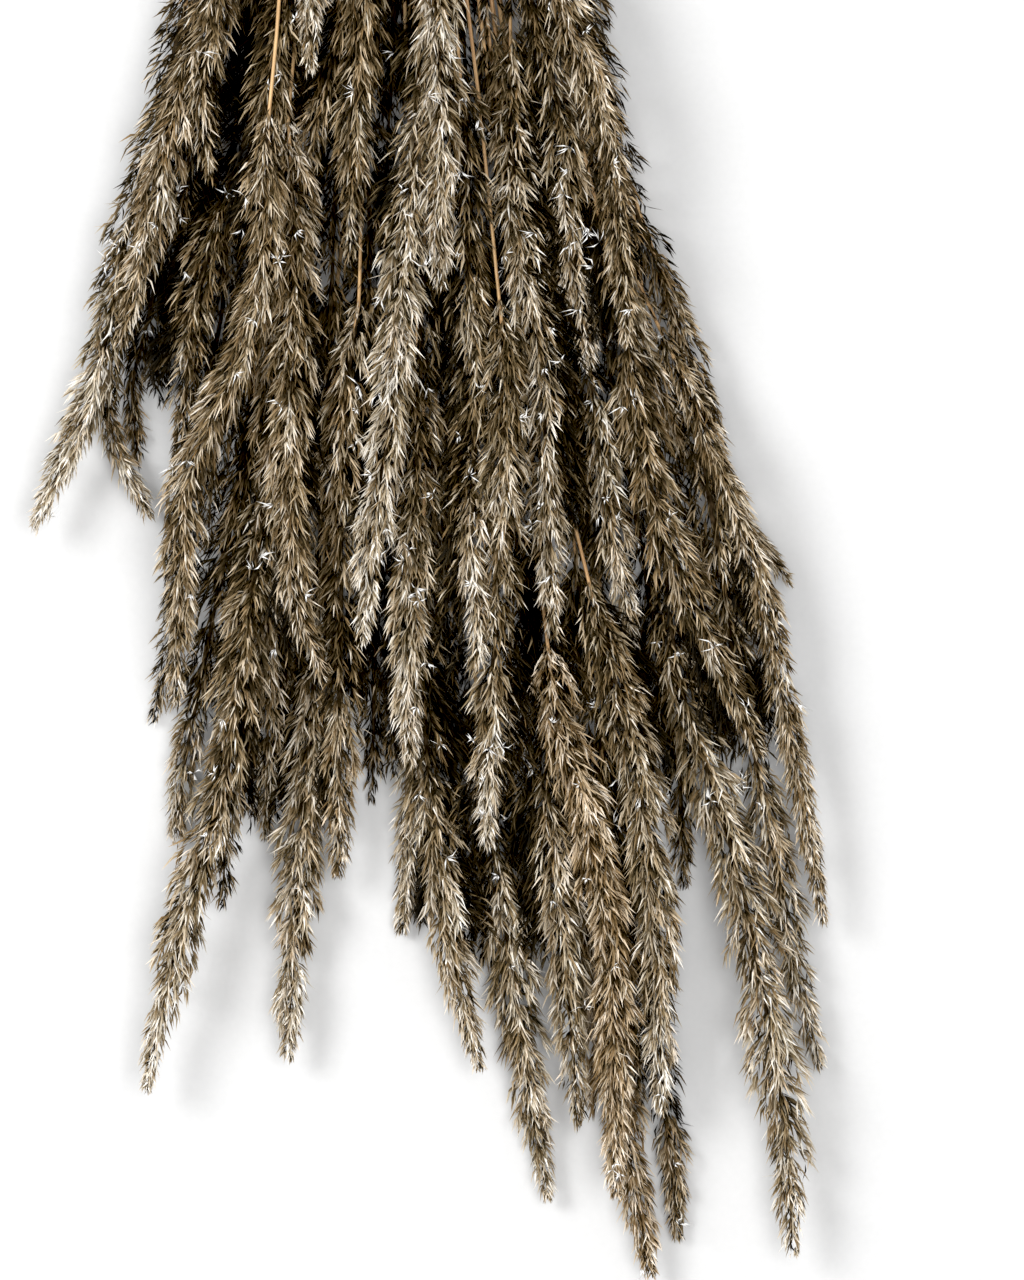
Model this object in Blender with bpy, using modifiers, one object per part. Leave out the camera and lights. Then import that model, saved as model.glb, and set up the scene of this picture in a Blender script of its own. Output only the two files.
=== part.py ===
"""Dried feather reed grass: one tied bunch of cut stalks, lying on a surface.

Every stalk is one grown piece, a straw culm that runs into a feathery flower head. The stalks fan out from a
twine tie. The origin is on the surface straight below the middle of the tie, the flower heads point along -Y,
the cut ends along +Y, and +Z is up. Sizes are in millimetres until a vertex is placed, in metres.
"""

import math
import random
from dataclasses import dataclass

import bmesh
import bpy
import numpy as np

MM = 0.001
SEED = 41
TINY = 1e-6

# Stems
STEM_RADIUS = 1.0
STEM_RADIUS_AT_HEAD = 0.9
BUTT_LENGTH = 77.0  # from the tie to the cut ends, a whole number of stations
BUTT_SPREAD = 0.2  # how much wider the bundle is at the cut ends than at the tie
BUTT_STAGGER = 5.0  # the cut ends are not quite level

# Flower heads
HEAD_RADIUS = 8.1
HEAD_CORE = 0.40  # core radius as a share of the head's radius
HEAD_LENGTHS = (184.0, 212.0)
HEAD_SWELL = 0.20  # share of the length over which a head reaches its full width
HEAD_TAPER = 0.30  # share of the length over which it narrows to its tip
HEAD_TIP_RADIUS = 0.5
HEAD_TIP_SHARE = 0.28  # width just before the tip, as a share of the full width
SPIKELET_LEAN = 12.0  # how far a spikelet's point lies ahead of its root
SPIKELET_UNEVEN = 0.14
SIDES = 6

# Cross-sections
STATION = 11.0
STEM_KNOT = 80.0  # a stem is straight between knots this far apart
GRIP = 11.0  # the stems are parallel this far, one station, each side of the tie's middle
NEIGHBOUR_GAP = 0.45
TURN_ALLOWANCE = 0.02  # extra clearance, as neighbours wind round each other between stations

# Twine tie
SLOT_PITCH = 2.7
TWINE_DIAMETER = 2.6
TWINE_TURNS = 4
TURN_RELIEF = 0.5  # depth of the groove between two turns, which lie on a first layer
TURN_CREST = (0.3, 0.7)  # where a turn's crest begins and ends, as shares of the twine's width
TIE_CLEARANCE = 0.4
TIE_FLAT = 0.8  # depth of the flat that the tie rests on
TIE_SEGMENTS = 20
KNOT_SCALE = 1.5
KNOT_POINTS = 14
KNOT_ANGLE = 62.0  # degrees round the tie from +X
KNOT_SINK = 0.9  # how far the knot is pressed into the turns
TWINE_END_LENGTH = 15.0
TWINE_END_RUN = ((0.1, 0.4), (0.4, 0.6), (0.7, 1.0), (1.0, 1.0))  # shares of the length and of the way down
TWINE_END_ACROSS = (2.0, 2.5)  # where it leaves the knot, and how far it slants from there

# Finishes: base colour, roughness
STRAW = ((0.52, 0.33, 0.13, 1), 0.45)
HEAD = ((0.26, 0.21, 0.155, 1), 0.9)
TWINE = ((0.42, 0.29, 0.16, 1), 0.9)

# Heap
LAYER_HEIGHT = 8.5
LOWEST_LAYER = 6.0
FLATTENED = 0.62  # a head on the surface is pressed to this share of its radius below
SPREAD_LENGTH = 160.0  # distance over which the bundle opens from the tie into the heap
STEM_SHARE = 0.3  # a stem lies this share of its head's layer high, under the heads that it passes
STEM_RISE = 70.0  # distance before its head over which a stem comes up to the head's layer

# How the paths are bent clear of each other
ROUGH_STEPS = 120
HEAP_STEPS = 300
FINISH_STEPS = 250
SLOT_LOOK = 140.0  # distance from the tie at which the stems' order is read
PUSH = 0.5  # share of a lack of clearance that is made good at each step
SMOOTHING = 0.25
LATE_SMOOTHING = 0.12  # at the start of the last steps, from where it falls to nothing
PULL = 0.05  # share of the way back to its axis that a path is drawn at each step
SINK = 0.02  # how far a path is let down at each step
DECIMALS = 3  # of a millimetre, kept at each step so that every computer bends the paths alike


@dataclass(frozen=True)
class Stalk:
    """One stalk: its layer in the heap, and its head's axis as (x, distance from the tie), down to the tip."""

    layer: float
    axis: tuple


STALKS = (
    Stalk(2.0, ((-72, 262), (-80, 300), (-92, 340), (-98, 370), (-104, 400), (-112, 418), (-127, 450))),
    Stalk(1.0, ((-80, 320), (-90, 360), (-102, 400), (-98, 422), (-84, 447))),
    Stalk(0.0, ((-85, 370), (-93, 400), (-89, 428))),
    Stalk(3.0, ((-63, 262), (-74, 298), (-80, 320), (-86, 350), (-95, 385))),
    Stalk(3.0, ((-60, 262), (-66, 300), (-62, 325))),
    Stalk(2.0, ((-70, 300), (-75, 330), (-77, 347))),
    Stalk(1.0, ((-50, 300), (-62, 335), (-70, 370), (-76, 410), (-75, 430))),
    Stalk(3.0, ((-41, 305), (-47, 370), (-60, 400), (-76, 440), (-73, 480), (-75, 512))),
    Stalk(2.0, ((-40, 300), (-37, 330), (-32, 372))),
    Stalk(2.0, ((-46, 350), (-52, 390), (-62, 430), (-64, 456))),
    Stalk(1.6, ((-40, 240), (-38, 270), (-30, 300))),
    Stalk(4.0, ((-30, 240), (-28, 262), (-25, 288))),
    Stalk(3.0, ((-14, 262), (-20, 290), (-26, 310), (-28, 335))),
    Stalk(3.0, ((-12, 270), (-15, 320), (-13, 355))),
    Stalk(1.0, ((-24, 330), (-30, 365), (-38, 392))),
    Stalk(1.6, ((-18, 350), (-20, 380), (-18, 430), (-16, 468))),
    Stalk(1.0, ((-7, 312), (-5, 350), (-7, 400), (-8, 440))),
    Stalk(3.4, ((17, 262), (14, 290), (6, 360), (3, 410), (-3, 445), (-8, 492))),
    Stalk(3.0, ((20, 270), (21, 300), (20, 330), (20, 365))),
    Stalk(3.0, ((52, 262), (46, 320), (53, 370), (56, 420), (59, 470), (61, 490))),
    Stalk(2.0, ((56, 275), (64, 300), (67, 350), (74, 393))),
    Stalk(2.0, ((30, 330), (33, 350), (36, 395), (46, 432))),
    Stalk(2.6, ((30, 360), (33, 400), (31, 460), (35, 500))),
    Stalk(3.0, ((66, 262), (80, 295), (86, 315), (93, 340))),
    Stalk(2.0, ((78, 265), (92, 325), (104, 365), (116, 400), (122, 420))),
    Stalk(1.6, ((95, 360), (108, 400), (128, 450), (138, 485), (145, 520), (158, 592))),
    Stalk(1.0, ((88, 360), (100, 400), (126, 440), (148, 470))),
    Stalk(2.6, ((74, 280), (80, 310), (85, 350), (87, 385))),
    Stalk(2.0, ((88, 390), (96, 440), (112, 480), (128, 515), (136, 532))),
    Stalk(2.0, ((76, 408), (78, 430), (86, 475), (90, 497))),
    Stalk(0.0, ((92, 370), (108, 430), (125, 480), (137, 515))),
    Stalk(1.6, ((72, 470), (84, 505), (92, 545), (97, 600), (100, 660))),
    Stalk(0.0, ((90, 560), (100, 620), (103, 670), (106, 707))),
    Stalk(2.0, ((48, 430), (50, 470), (46, 490), (44, 512))),
    Stalk(2.6, ((57, 480), (62, 520), (72, 550), (82, 600), (83, 690))),
    Stalk(2.0, ((58, 500), (59, 550), (65, 610), (70, 665))),
    Stalk(1.4, ((70, 560), (78, 620), (88, 680), (97, 720))),
    Stalk(1.0, ((84, 560), (88, 590), (94, 658))),
    Stalk(3.0, ((40, 470), (38, 525), (36, 566))),
    Stalk(2.0, ((8, 430), (11, 480), (9, 535))),
    Stalk(1.6, ((12, 490), (17, 555), (23, 600), (34, 645))),
    Stalk(1.0, ((14, 520), (12, 560), (3, 597))),
    Stalk(0.0, ((-3, 440), (-4, 500), (-5, 549))),
    Stalk(0.6, ((3, 440), (2, 500), (5, 540))),
    Stalk(2.0, ((-26, 470), (-27, 530), (-33, 590), (-37, 642))),
    Stalk(1.6, ((-14, 440), (-17, 490), (-17, 575))),
    Stalk(2.0, ((-42, 430), (-50, 490), (-57, 540), (-75, 600), (-86, 652))),
    Stalk(1.0, ((-51, 418), (-62, 480), (-73, 535), (-76, 565))),
    Stalk(1.4, ((-48, 450), (-52, 500), (-57, 555), (-60, 587))),
    Stalk(0.6, ((-70, 400), (-79, 470), (-85, 520))),
    Stalk(2.0, ((-40, 440), (-42, 490), (-42, 513))),
    Stalk(2.6, ((-33, 440), (-31, 480), (-20, 505))),
    Stalk(0.2, ((-40, 450), (-45, 520), (-44, 562))),
    Stalk(2.4, ((118, 530), (122, 580), (135, 630), (142, 670), (146, 712))),
    Stalk(1.0, ((128, 510), (140, 560), (150, 620), (158, 645))),
    Stalk(0.0, ((92, 460), (104, 540), (108, 580))),
    Stalk(1.0, ((36, 540), (46, 610), (51, 650), (59, 692))),
    Stalk(0.4, ((28, 250), (31, 300), (30, 345))),
    Stalk(0.4, ((3, 240), (1, 290), (-1, 338))),
)


def stations():
    """Distances from the tie, in mm, of every cross-section: negative towards the cut ends."""
    furthest = max(stalk.axis[-1][1] for stalk in STALKS)
    return np.arange(-BUTT_LENGTH, furthest + STATION, STATION)


def through(points, where):
    """The x of a smooth curve through (x, distance) points, at distances that it spans."""
    xs, ds = (np.array(values, float) for values in zip(*points))
    slopes = np.gradient(xs, ds)
    k = np.clip(np.searchsorted(ds, where) - 1, 0, len(ds) - 2)
    span = ds[k + 1] - ds[k]
    t = (where - ds[k]) / span
    return (
        xs[k] * (2 * t**3 - 3 * t**2 + 1)
        + xs[k + 1] * (3 * t**2 - 2 * t**3)
        + slopes[k] * span * (t**3 - 2 * t**2 + t)
        + slopes[k + 1] * span * (t**3 - t**2)
    )


def tie_slots():
    """(x, height above the bundle's middle) for each stem at the tie: the middle of a honeycomb."""
    reach = 8
    points = [
        (SLOT_PITCH * (column + 0.5 * (row % 2)), SLOT_PITCH * math.sqrt(0.75) * row)
        for row in range(-reach, reach + 1)
        for column in range(-reach, reach + 1)
    ]
    points.sort(key=lambda p: (round(math.hypot(*p), 3), p))
    return points[: len(STALKS)]


def slot_radius():
    """From the bundle's middle to the middle of its outermost stem."""
    return max(math.hypot(*slot) for slot in tie_slots())


def tie_inner_radius():
    """Radius of the hole that the stems fill."""
    return slot_radius() + STEM_RADIUS + TIE_CLEARANCE


def bundle_height():
    """Height of the tie's middle above the surface."""
    return tie_inner_radius() + TWINE_DIAMETER - TIE_FLAT


def chosen_slots(x, z):
    """A slot at the tie for each stalk, given where the stalks lie beyond it, so that few stems cross.

    It starts with the stalks and the slots both sorted from left to right, and swaps two stalks' slots as long
    as that brings both nearer, all told.
    """
    slots = np.array(sorted(tie_slots()))
    spots = np.stack([x - x.mean(), z - z.mean()], axis=1)
    spots *= slot_radius() / np.hypot(*spots.T).max()
    chosen = np.empty_like(slots)
    chosen[np.argsort(spots[:, 0], kind="stable")] = slots
    swapped = True
    while swapped:
        swapped = False
        for i in range(len(slots)):
            for j in range(i):
                gain = (spots[i] - spots[j]) @ (chosen[j] - chosen[i])
                if gain > TINY:
                    chosen[[i, j]] = chosen[[j, i]]
                    swapped = True
    return chosen


def head_length(i):
    low, high = HEAD_LENGTHS
    return random.Random(SEED + i).uniform(low, high)


def head_start(i):
    """The distance from the tie, at a station, where stalk i's flower head starts."""
    start = STALKS[i].axis[-1][1] - head_length(i)
    return STATION * round(start / STATION)


def smoothstep(value):
    value = np.clip(value, 0.0, 1.0)
    return value * value * (3 - 2 * value)


def envelope(i, where):
    """Radius that stalk i needs at each distance: its stem, then its head with its spikelets' points."""
    tip = STALKS[i].axis[-1][1]
    along = (where - head_start(i)) / (tip - head_start(i))
    swell = smoothstep(along / HEAD_SWELL)
    taper = 1 - (1 - HEAD_TIP_SHARE) * smoothstep((along - 1 + HEAD_TAPER) / HEAD_TAPER)
    stem = np.interp(where, (0.0, head_start(i)), (STEM_RADIUS, STEM_RADIUS_AT_HEAD))
    return stem + (HEAD_RADIUS - stem) * swell * taper


def stem_knots(start):
    """Distances from the tie where a stem may bend: at both sides of the tie, then evenly to its head's start."""
    bends = max(1, round((start - GRIP) / STEM_KNOT))
    return np.array([-GRIP, *(GRIP + STATION * np.round(np.linspace(0, start - GRIP, bends + 1) / STATION))])


def knot_projection(i, where):
    """The matrix that makes stalk i's stem straight between its knots, and leaves its head as it is."""
    start = head_start(i)
    last = np.searchsorted(where, STALKS[i].axis[-1][1])
    in_head = where[(where > start) & (where <= where[last])]
    knots = np.concatenate([[-BUTT_LENGTH], stem_knots(start), in_head])
    hats = np.array([np.interp(where, knots, row) for row in np.eye(len(knots))]).T
    return hats @ np.linalg.pinv(hats), hats[:, 1:3]


def settled_paths():
    """x and z of every stalk at every station: a rough heap finds each stem's place at the tie, then the heap."""
    where = stations()
    slots = np.array(tie_slots())
    x, z = heap(where, slots * 0, ROUGH_STEPS, 0)
    look = np.searchsorted(where, SLOT_LOOK)
    return where, *heap(where, chosen_slots(x[:, look], z[:, look]), HEAP_STEPS, FINISH_STEPS)


def heap(where, slots, loose_steps, firm_steps):
    """Bends the stalks clear of each other.

    Each stalk starts on its axis in its layer. Then, over and over, stalks that come too near each other are
    pushed apart across their stems, each path is smoothed, drawn back to its axis and let down a little, and
    nothing goes below the surface. The last steps push, and smooth less and less, so no two are left touching.
    """
    count = len(STALKS)
    tips = np.array([stalk.axis[-1][1] for stalk in STALKS])
    layers = np.array([stalk.layer for stalk in STALKS])
    starts = np.array([head_start(i) for i in range(count)])
    opened = smoothstep(where / SPREAD_LENGTH)
    widened = 1 + BUTT_SPREAD * np.clip((-where - GRIP) / (BUTT_LENGTH - GRIP), 0, 1)
    axes = [through(((0, 0), *s.axis), np.clip(where, 0, s.axis[-1][1])) for s in STALKS]
    aim_x = np.array(axes) + slots[:, :1] * widened * (1 - opened)
    slot_z = bundle_height() + slots[:, 1:] * widened
    risen = smoothstep((where - starts[:, None]) / STEM_RISE + 1)
    level = layers[:, None] * (STEM_SHARE + (1 - STEM_SHARE) * risen)
    aim_z = slot_z * (1 - opened) + (LOWEST_LAYER + LAYER_HEIGHT * level) * opened

    radius = np.array(
        [np.maximum(envelope(i, where), envelope(i, where + STATION)) for i in range(count)]
    )
    there = where[None, :] < tips[:, None] + STATION
    floor = np.where(radius > 2 * STEM_RADIUS, FLATTENED * radius, radius)
    projections = [knot_projection(i, where) for i in range(count)]
    straighten = np.array([p[0] for p in projections])
    grip_hats = np.array([p[1] for p in projections])
    grips = np.searchsorted(where, (-GRIP, GRIP))

    first, second = np.triu_indices(count, 1)
    pairs = np.arange(len(first))
    to_first = np.zeros((count, len(first)))
    to_second = np.zeros((count, len(first)))
    to_first[first, pairs] = 1
    to_second[second, pairs] = -1
    need = (radius[first] + radius[second]) * (1 + TURN_ALLOWANCE) + NEIGHBOUR_GAP
    both = (there[first] & there[second]).astype(float)
    share = radius[second] / (radius[first] + radius[second])

    halfway = np.arange(where[0], where[-1] + 1, STATION / 2)
    coarse = np.eye(len(where))
    fine = np.array([np.interp(halfway, where, row) for row in coarse])
    x, z = aim_x.copy(), aim_z.copy()
    for step in range(loose_steps + firm_steps):
        spots = coarse if step < loose_steps else fine
        dx, dz = (x[first] - x[second]) @ spots, (z[first] - z[second]) @ spots
        apart = np.hypot(dx, dz) + TINY
        push = np.where(both @ spots == 1, np.maximum(0, need @ spots - apart), 0) * PUSH
        first_share = share @ spots
        for moved, towards in ((x, dx / apart), (z, dz / apart)):
            moved += to_first @ (push * towards * first_share) @ spots.T
            moved += to_second @ (push * towards * (1 - first_share)) @ spots.T
        late = (step - loose_steps + 1) / max(1, firm_steps)
        ease = SMOOTHING if step < loose_steps else LATE_SMOOTHING * (1 - late)
        for moved in (x, z):
            moved[:, 1:-1] += ease * (moved[:, 2:] - 2 * moved[:, 1:-1] + moved[:, :-2])
        if step < loose_steps:
            x += PULL * (aim_x - x)
            z -= SINK * opened
        z = np.maximum(z, floor)
        x = np.einsum("nij,nj->ni", straighten, x)
        z = np.einsum("nij,nj->ni", straighten, z)
        if slots.any():
            x += np.einsum("nsg,ng->ns", grip_hats, slots[:, :1] - x[:, grips])
            z += np.einsum("nsg,ng->ns", grip_hats, bundle_height() + slots[:, 1:] - z[:, grips])
        x = np.round(x, DECIMALS)
        z = np.round(z, DECIMALS)
    return x, z


def clear_scene():
    for thing in list(bpy.data.objects):
        bpy.data.objects.remove(thing, do_unlink=True)


def finish(name, colour, roughness):
    material = bpy.data.materials.new(name)
    material.use_nodes = True
    shader = material.node_tree.nodes["Principled BSDF"]
    shader.inputs["Base Color"].default_value = colour
    shader.inputs["Roughness"].default_value = roughness
    shader.inputs["Metallic"].default_value = 0.0
    return material


def collection(name):
    made = bpy.data.collections.new(name)
    bpy.context.scene.collection.children.link(made)
    return made


def ring_distances(i, where):
    """Distances of stalk i's rings: the stem's knots, then every station of the head, then the tip."""
    start = head_start(i)
    tip = STALKS[i].axis[-1][1]
    butt = -BUTT_LENGTH + random.Random(SEED - i).uniform(-BUTT_STAGGER, BUTT_STAGGER)
    stem = stem_knots(start)
    head = where[(where > start) & (where < tip - STATION / 2)]
    return [butt, *stem, *head, tip], 1 + len(stem)


def stalk_object(i, where, x, z, straw, head, target):
    """One stalk: a six-sided tube along its path, whose head has every other corner drawn out to a spikelet."""
    draw = random.Random(SEED * 100 + i)
    tip = STALKS[i].axis[-1][1]
    distances, stem_rings = ring_distances(i, where)

    def place(distance, radius, angle):
        centre_x = np.interp(distance, where, x[i])
        centre_z = np.interp(distance, where, z[i])
        height = max(0.0, centre_z + radius * math.sin(angle))
        return (MM * (centre_x + radius * math.cos(angle)), -MM * distance, MM * height)

    def corner(ring, side):
        distance = distances[ring]
        angle = 2 * math.pi * side / SIDES
        if ring == len(distances) - 1:
            return place(distance, HEAD_TIP_RADIUS, angle)
        wide = float(envelope(i, distance))
        if ring < stem_rings:
            return place(distance, wide, angle)
        if (ring + side) % 2:
            return place(distance, max(STEM_RADIUS, HEAD_CORE * wide), angle)
        point = min(distance + SPIKELET_LEAN, tip - 1)
        reach = float(envelope(i, point)) * (1 - SPIKELET_UNEVEN * draw.random())
        return place(point, reach, angle)

    mesh = bmesh.new()
    corners = bmesh.ops.create_circle(mesh, segments=SIDES, radius=MM)["verts"]
    rim = list(mesh.edges)
    bmesh.ops.edgeloop_fill(mesh, edges=rim)
    for ring in range(len(distances)):
        if ring:
            extruded = bmesh.ops.extrude_edge_only(mesh, edges=rim)["geom"]
            grown = [item for item in extruded if isinstance(item, bmesh.types.BMVert)]
            rim = [item for item in extruded if isinstance(item, bmesh.types.BMEdge)]
            corners = in_step(corners, grown)
            faces = [item for item in extruded if isinstance(item, bmesh.types.BMFace)]
            for face in faces:
                face.material_index = int(ring >= stem_rings)
                face.smooth = ring < stem_rings
        for side, vert in enumerate(corners):
            vert.co = corner(ring, side)
    bmesh.ops.edgeloop_fill(mesh, edges=rim)
    bmesh.ops.triangulate(mesh, faces=mesh.faces, quad_method="SHORT_EDGE")
    bmesh.ops.recalc_face_normals(mesh, faces=mesh.faces)

    data = bpy.data.meshes.new(f"stalk_{i + 1:02d}")
    mesh.to_mesh(data)
    mesh.free()
    data.materials.append(straw)
    data.materials.append(head)
    made = bpy.data.objects.new(data.name, data)
    target.objects.link(made)
    return made


def in_step(corners, grown):
    """The extruded corners, in the order of the corners that they grew from."""
    by_root = {}
    for vert in grown:
        root = next(edge.other_vert(vert) for edge in vert.link_edges if edge.other_vert(vert) in corners)
        by_root[root] = vert
    return [by_root[vert] for vert in corners]


def tie_profile():
    """(radius, height) down the outer side of the band, turn by turn, and back up its inner side, in mm."""
    crest = tie_inner_radius() + TWINE_DIAMETER
    top = TWINE_TURNS * TWINE_DIAMETER / 2
    points = [(crest - TURN_RELIEF, top)]
    for turn in range(TWINE_TURNS):
        above = top - turn * TWINE_DIAMETER
        points.extend((crest, above - share * TWINE_DIAMETER) for share in TURN_CREST)
        points.append((crest - TURN_RELIEF, above - TWINE_DIAMETER))
    return points + [(tie_inner_radius(), -top), (tie_inner_radius(), top)]


def turned_band(material, target):
    """The wound turns, as a profile spun round the bundle's axis, which runs along Y."""
    mesh = bmesh.new()
    verts = [mesh.verts.new((MM * radius, 0, MM * height)) for radius, height in tie_profile()]
    for a, b in zip(verts, verts[1:] + verts[:1]):
        mesh.edges.new((a, b))
    data = bpy.data.meshes.new("twine_tie")
    mesh.to_mesh(data)
    mesh.free()
    data.materials.append(material)
    band = bpy.data.objects.new("twine_tie", data)
    target.objects.link(band)
    band.rotation_euler = (math.pi / 2, 0, 0)
    band.location = (0, 0, MM * bundle_height())
    screw = band.modifiers.new("Turn", "SCREW")
    screw.steps = TIE_SEGMENTS
    screw.render_steps = TIE_SEGMENTS
    screw.use_merge_vertices = True
    screw.merge_threshold = 0.00001
    screw.use_smooth_shade = False
    return band


def twine_length(name, points, cyclic, target):
    """A length of twine through points in mm, as a closed mesh that a Boolean takes."""
    curve = bpy.data.curves.new(name, "CURVE")
    curve.dimensions = "3D"
    curve.bevel_depth = MM * TWINE_DIAMETER / 2
    curve.bevel_resolution = 1
    curve.use_fill_caps = True
    spline = curve.splines.new("POLY")
    spline.points.add(len(points) - 1)
    for spot, point in zip(spline.points, points):
        spot.co = (*(MM * value for value in point), 1)
    spline.use_cyclic_u = cyclic
    guide = bpy.data.objects.new(name + "_guide", curve)
    target.objects.link(guide)
    bpy.context.view_layer.update()
    data = bpy.data.meshes.new_from_object(guide.evaluated_get(bpy.context.evaluated_depsgraph_get()))
    bpy.data.objects.remove(guide, do_unlink=True)
    mesh = bmesh.new()
    mesh.from_mesh(data)
    bmesh.ops.remove_doubles(mesh, verts=mesh.verts, dist=MM * 0.01)
    bmesh.ops.recalc_face_normals(mesh, faces=mesh.faces)
    mesh.to_mesh(data)
    mesh.free()
    made = bpy.data.objects.new(name, data)
    target.objects.link(made)
    made.hide_render = True
    made.display_type = "WIRE"
    return made


def on_tie(across, along, out):
    """A point by the knot, in mm: across the turns' run, along the stems, and out from the bundle's middle."""
    angle = math.radians(KNOT_ANGLE) - across / out
    return (out * math.cos(angle), along, bundle_height() + out * math.sin(angle))


def knot_points():
    """A three-lobed overhand knot, lying on the turns."""
    middle = tie_inner_radius() + TWINE_DIAMETER + KNOT_SCALE + TWINE_DIAMETER / 2 - KNOT_SINK
    points = []
    for n in range(KNOT_POINTS):
        t = 2 * math.pi * n / KNOT_POINTS
        across = KNOT_SCALE * (math.sin(t) + 2 * math.sin(2 * t))
        along = KNOT_SCALE * (math.cos(t) - 2 * math.cos(2 * t))
        points.append(on_tie(across, along, middle - KNOT_SCALE * math.sin(3 * t)))
    return points


def twine_end_points(side):
    """A cut end of twine: it leaves the knot, passes over the turns' edge and lies along the stems."""
    high = tie_inner_radius() + TWINE_DIAMETER + KNOT_SCALE
    low = tie_inner_radius() + 0.6 * TWINE_DIAMETER
    across, slant = TWINE_END_ACROSS
    return [
        on_tie(across + slant * run, side * TWINE_END_LENGTH * run, high + (low - high) * drop)
        for run, drop in TWINE_END_RUN
    ]


def twine_tie(material, target, cutters):
    """The tie: turns, knot and cut ends as one body, with a flat where it lies on the surface."""
    band = turned_band(material, target)
    pieces = [
        twine_length("knot", knot_points(), True, cutters),
        twine_length("twine_end_front", twine_end_points(-1), False, cutters),
        twine_length("twine_end_back", twine_end_points(1), False, cutters),
    ]
    for piece in pieces:
        union = band.modifiers.new("Join " + piece.name, "BOOLEAN")
        union.operation = "UNION"
        union.object = piece
    reach = MM * 100
    bpy.ops.mesh.primitive_cube_add(size=reach, location=(0, 0, -reach / 2))
    below = bpy.context.object
    below.name = "below_surface"
    for owner in list(below.users_collection):
        owner.objects.unlink(below)
    cutters.objects.link(below)
    below.hide_render = True
    below.display_type = "WIRE"
    flat = band.modifiers.new("Flat", "BOOLEAN")
    flat.operation = "DIFFERENCE"
    flat.object = below
    return band


def main():
    clear_scene()
    reed_grass = collection("feather_reed_grass")
    cutters = collection("cutters")
    straw = finish("straw", *STRAW)
    head = finish("flower_head", *HEAD)
    where, x, z = settled_paths()
    for i in range(len(STALKS)):
        stalk_object(i, where, x, z, straw, head, reed_grass)
    twine_tie(finish("twine", *TWINE), reed_grass, cutters)


main()
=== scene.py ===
"""Dried feather reed grass: the finished look of one tied bunch, built round its CAD frame.

Every stalk is one piece, a straw culm that runs into a head of fine spikelets, and it takes the place of its CAD
node, from which its path is read. Lengths are in millimetres until a vertex is placed, in metres. Distances run
from the tie, along -Y, to the tips of the heads. The bunch lies on a pale floor and the camera looks down on it.
"""

import logging
import math
from dataclasses import astuple, dataclass, field
from enum import Enum

import bmesh
import bpy
import numpy as np
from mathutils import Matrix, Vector


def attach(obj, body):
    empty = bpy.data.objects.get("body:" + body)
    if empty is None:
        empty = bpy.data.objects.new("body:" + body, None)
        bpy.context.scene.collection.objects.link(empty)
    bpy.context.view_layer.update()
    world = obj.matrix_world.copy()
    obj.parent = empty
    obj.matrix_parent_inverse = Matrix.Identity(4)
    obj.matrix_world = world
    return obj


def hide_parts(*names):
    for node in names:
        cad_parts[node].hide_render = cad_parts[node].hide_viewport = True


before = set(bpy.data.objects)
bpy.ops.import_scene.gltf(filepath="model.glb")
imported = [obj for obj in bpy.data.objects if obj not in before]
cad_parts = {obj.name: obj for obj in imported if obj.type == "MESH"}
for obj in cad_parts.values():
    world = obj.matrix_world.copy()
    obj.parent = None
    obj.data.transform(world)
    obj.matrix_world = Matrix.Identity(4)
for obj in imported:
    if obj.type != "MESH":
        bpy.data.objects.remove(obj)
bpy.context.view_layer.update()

LOG = logging.getLogger("reed_grass")
MM = 0.001
SEED = 23
UV_MAP = "OFBake"
SHADES = 48  # bands across the spikelets' stretch of the map, one for each shade
HUES = 4  # rows up it, one for each hue; a spikelet runs up its row from root to tip
STATION = 11.0  # the CAD heads have a ring of corners at every multiple of this distance
THIN = 0.3  # how softly stems and twine settle on the floor, in mm


def srgb(red: int, green: int, blue: int) -> tuple:
    """Turns a colour as a screen shows it into linear light.

    Args:
        red: Red, 0 to 255.
        green: Green, 0 to 255.
        blue: Blue, 0 to 255.

    Returns:
        Red, green, blue and an alpha of 1.
    """
    parts = [value / 255 for value in (red, green, blue)]
    return (*(p / 12.92 if p <= 0.04045 else ((p + 0.055) / 1.055) ** 2.4 for p in parts), 1.0)


def unit(vectors: np.ndarray) -> np.ndarray:
    """Scales vectors, the last axis of an array, to a length of 1."""
    return vectors / np.maximum(np.linalg.norm(vectors, axis=-1, keepdims=True), 1e-9)


def ways_of(direction: np.ndarray, reference: tuple) -> tuple:
    """Directions, and for each of them two more, at right angles to it and to each other."""
    outward = unit(np.cross(direction, reference))
    return direction, outward, np.cross(direction, outward)


def smoothstep(value: np.ndarray) -> np.ndarray:
    """Rises smoothly from 0 to 1 as the value does, and is level outside."""
    value = np.clip(value, 0.0, 1.0)
    return value * value * (3 - 2 * value)


class Surface(Enum):
    """The kinds of surface: the number of its material on its piece, and its stretch of the map's width."""

    SPIKELETS = (0, 0.0, 0.75)
    FLUFF = (3, 0.755, 0.775)
    CORE = (1, 0.78, 0.81)
    CULM = (2, 0.82, 1.0)
    FIBRES = (0, 0.0, 1.0)
    PLIES = (1, 0.0, 1.0)

    def __init__(self, material: int, low: float, high: float) -> None:
        """Names the parts of its value.

        Args:
            material: The number of its material.
            low: Where its stretch of the map's width starts.
            high: Where it ends.
        """
        self.material = material
        self.low = low
        self.high = high

    def stretch(self, places: np.ndarray) -> np.ndarray:
        """Moves map places from the unit square into its stretch.

        Args:
            places: The places, each across and along.

        Returns:
            The moved places.
        """
        moved = places.copy()
        moved[..., 0] = self.low + (self.high - self.low) * places[..., 0]
        return moved


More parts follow.
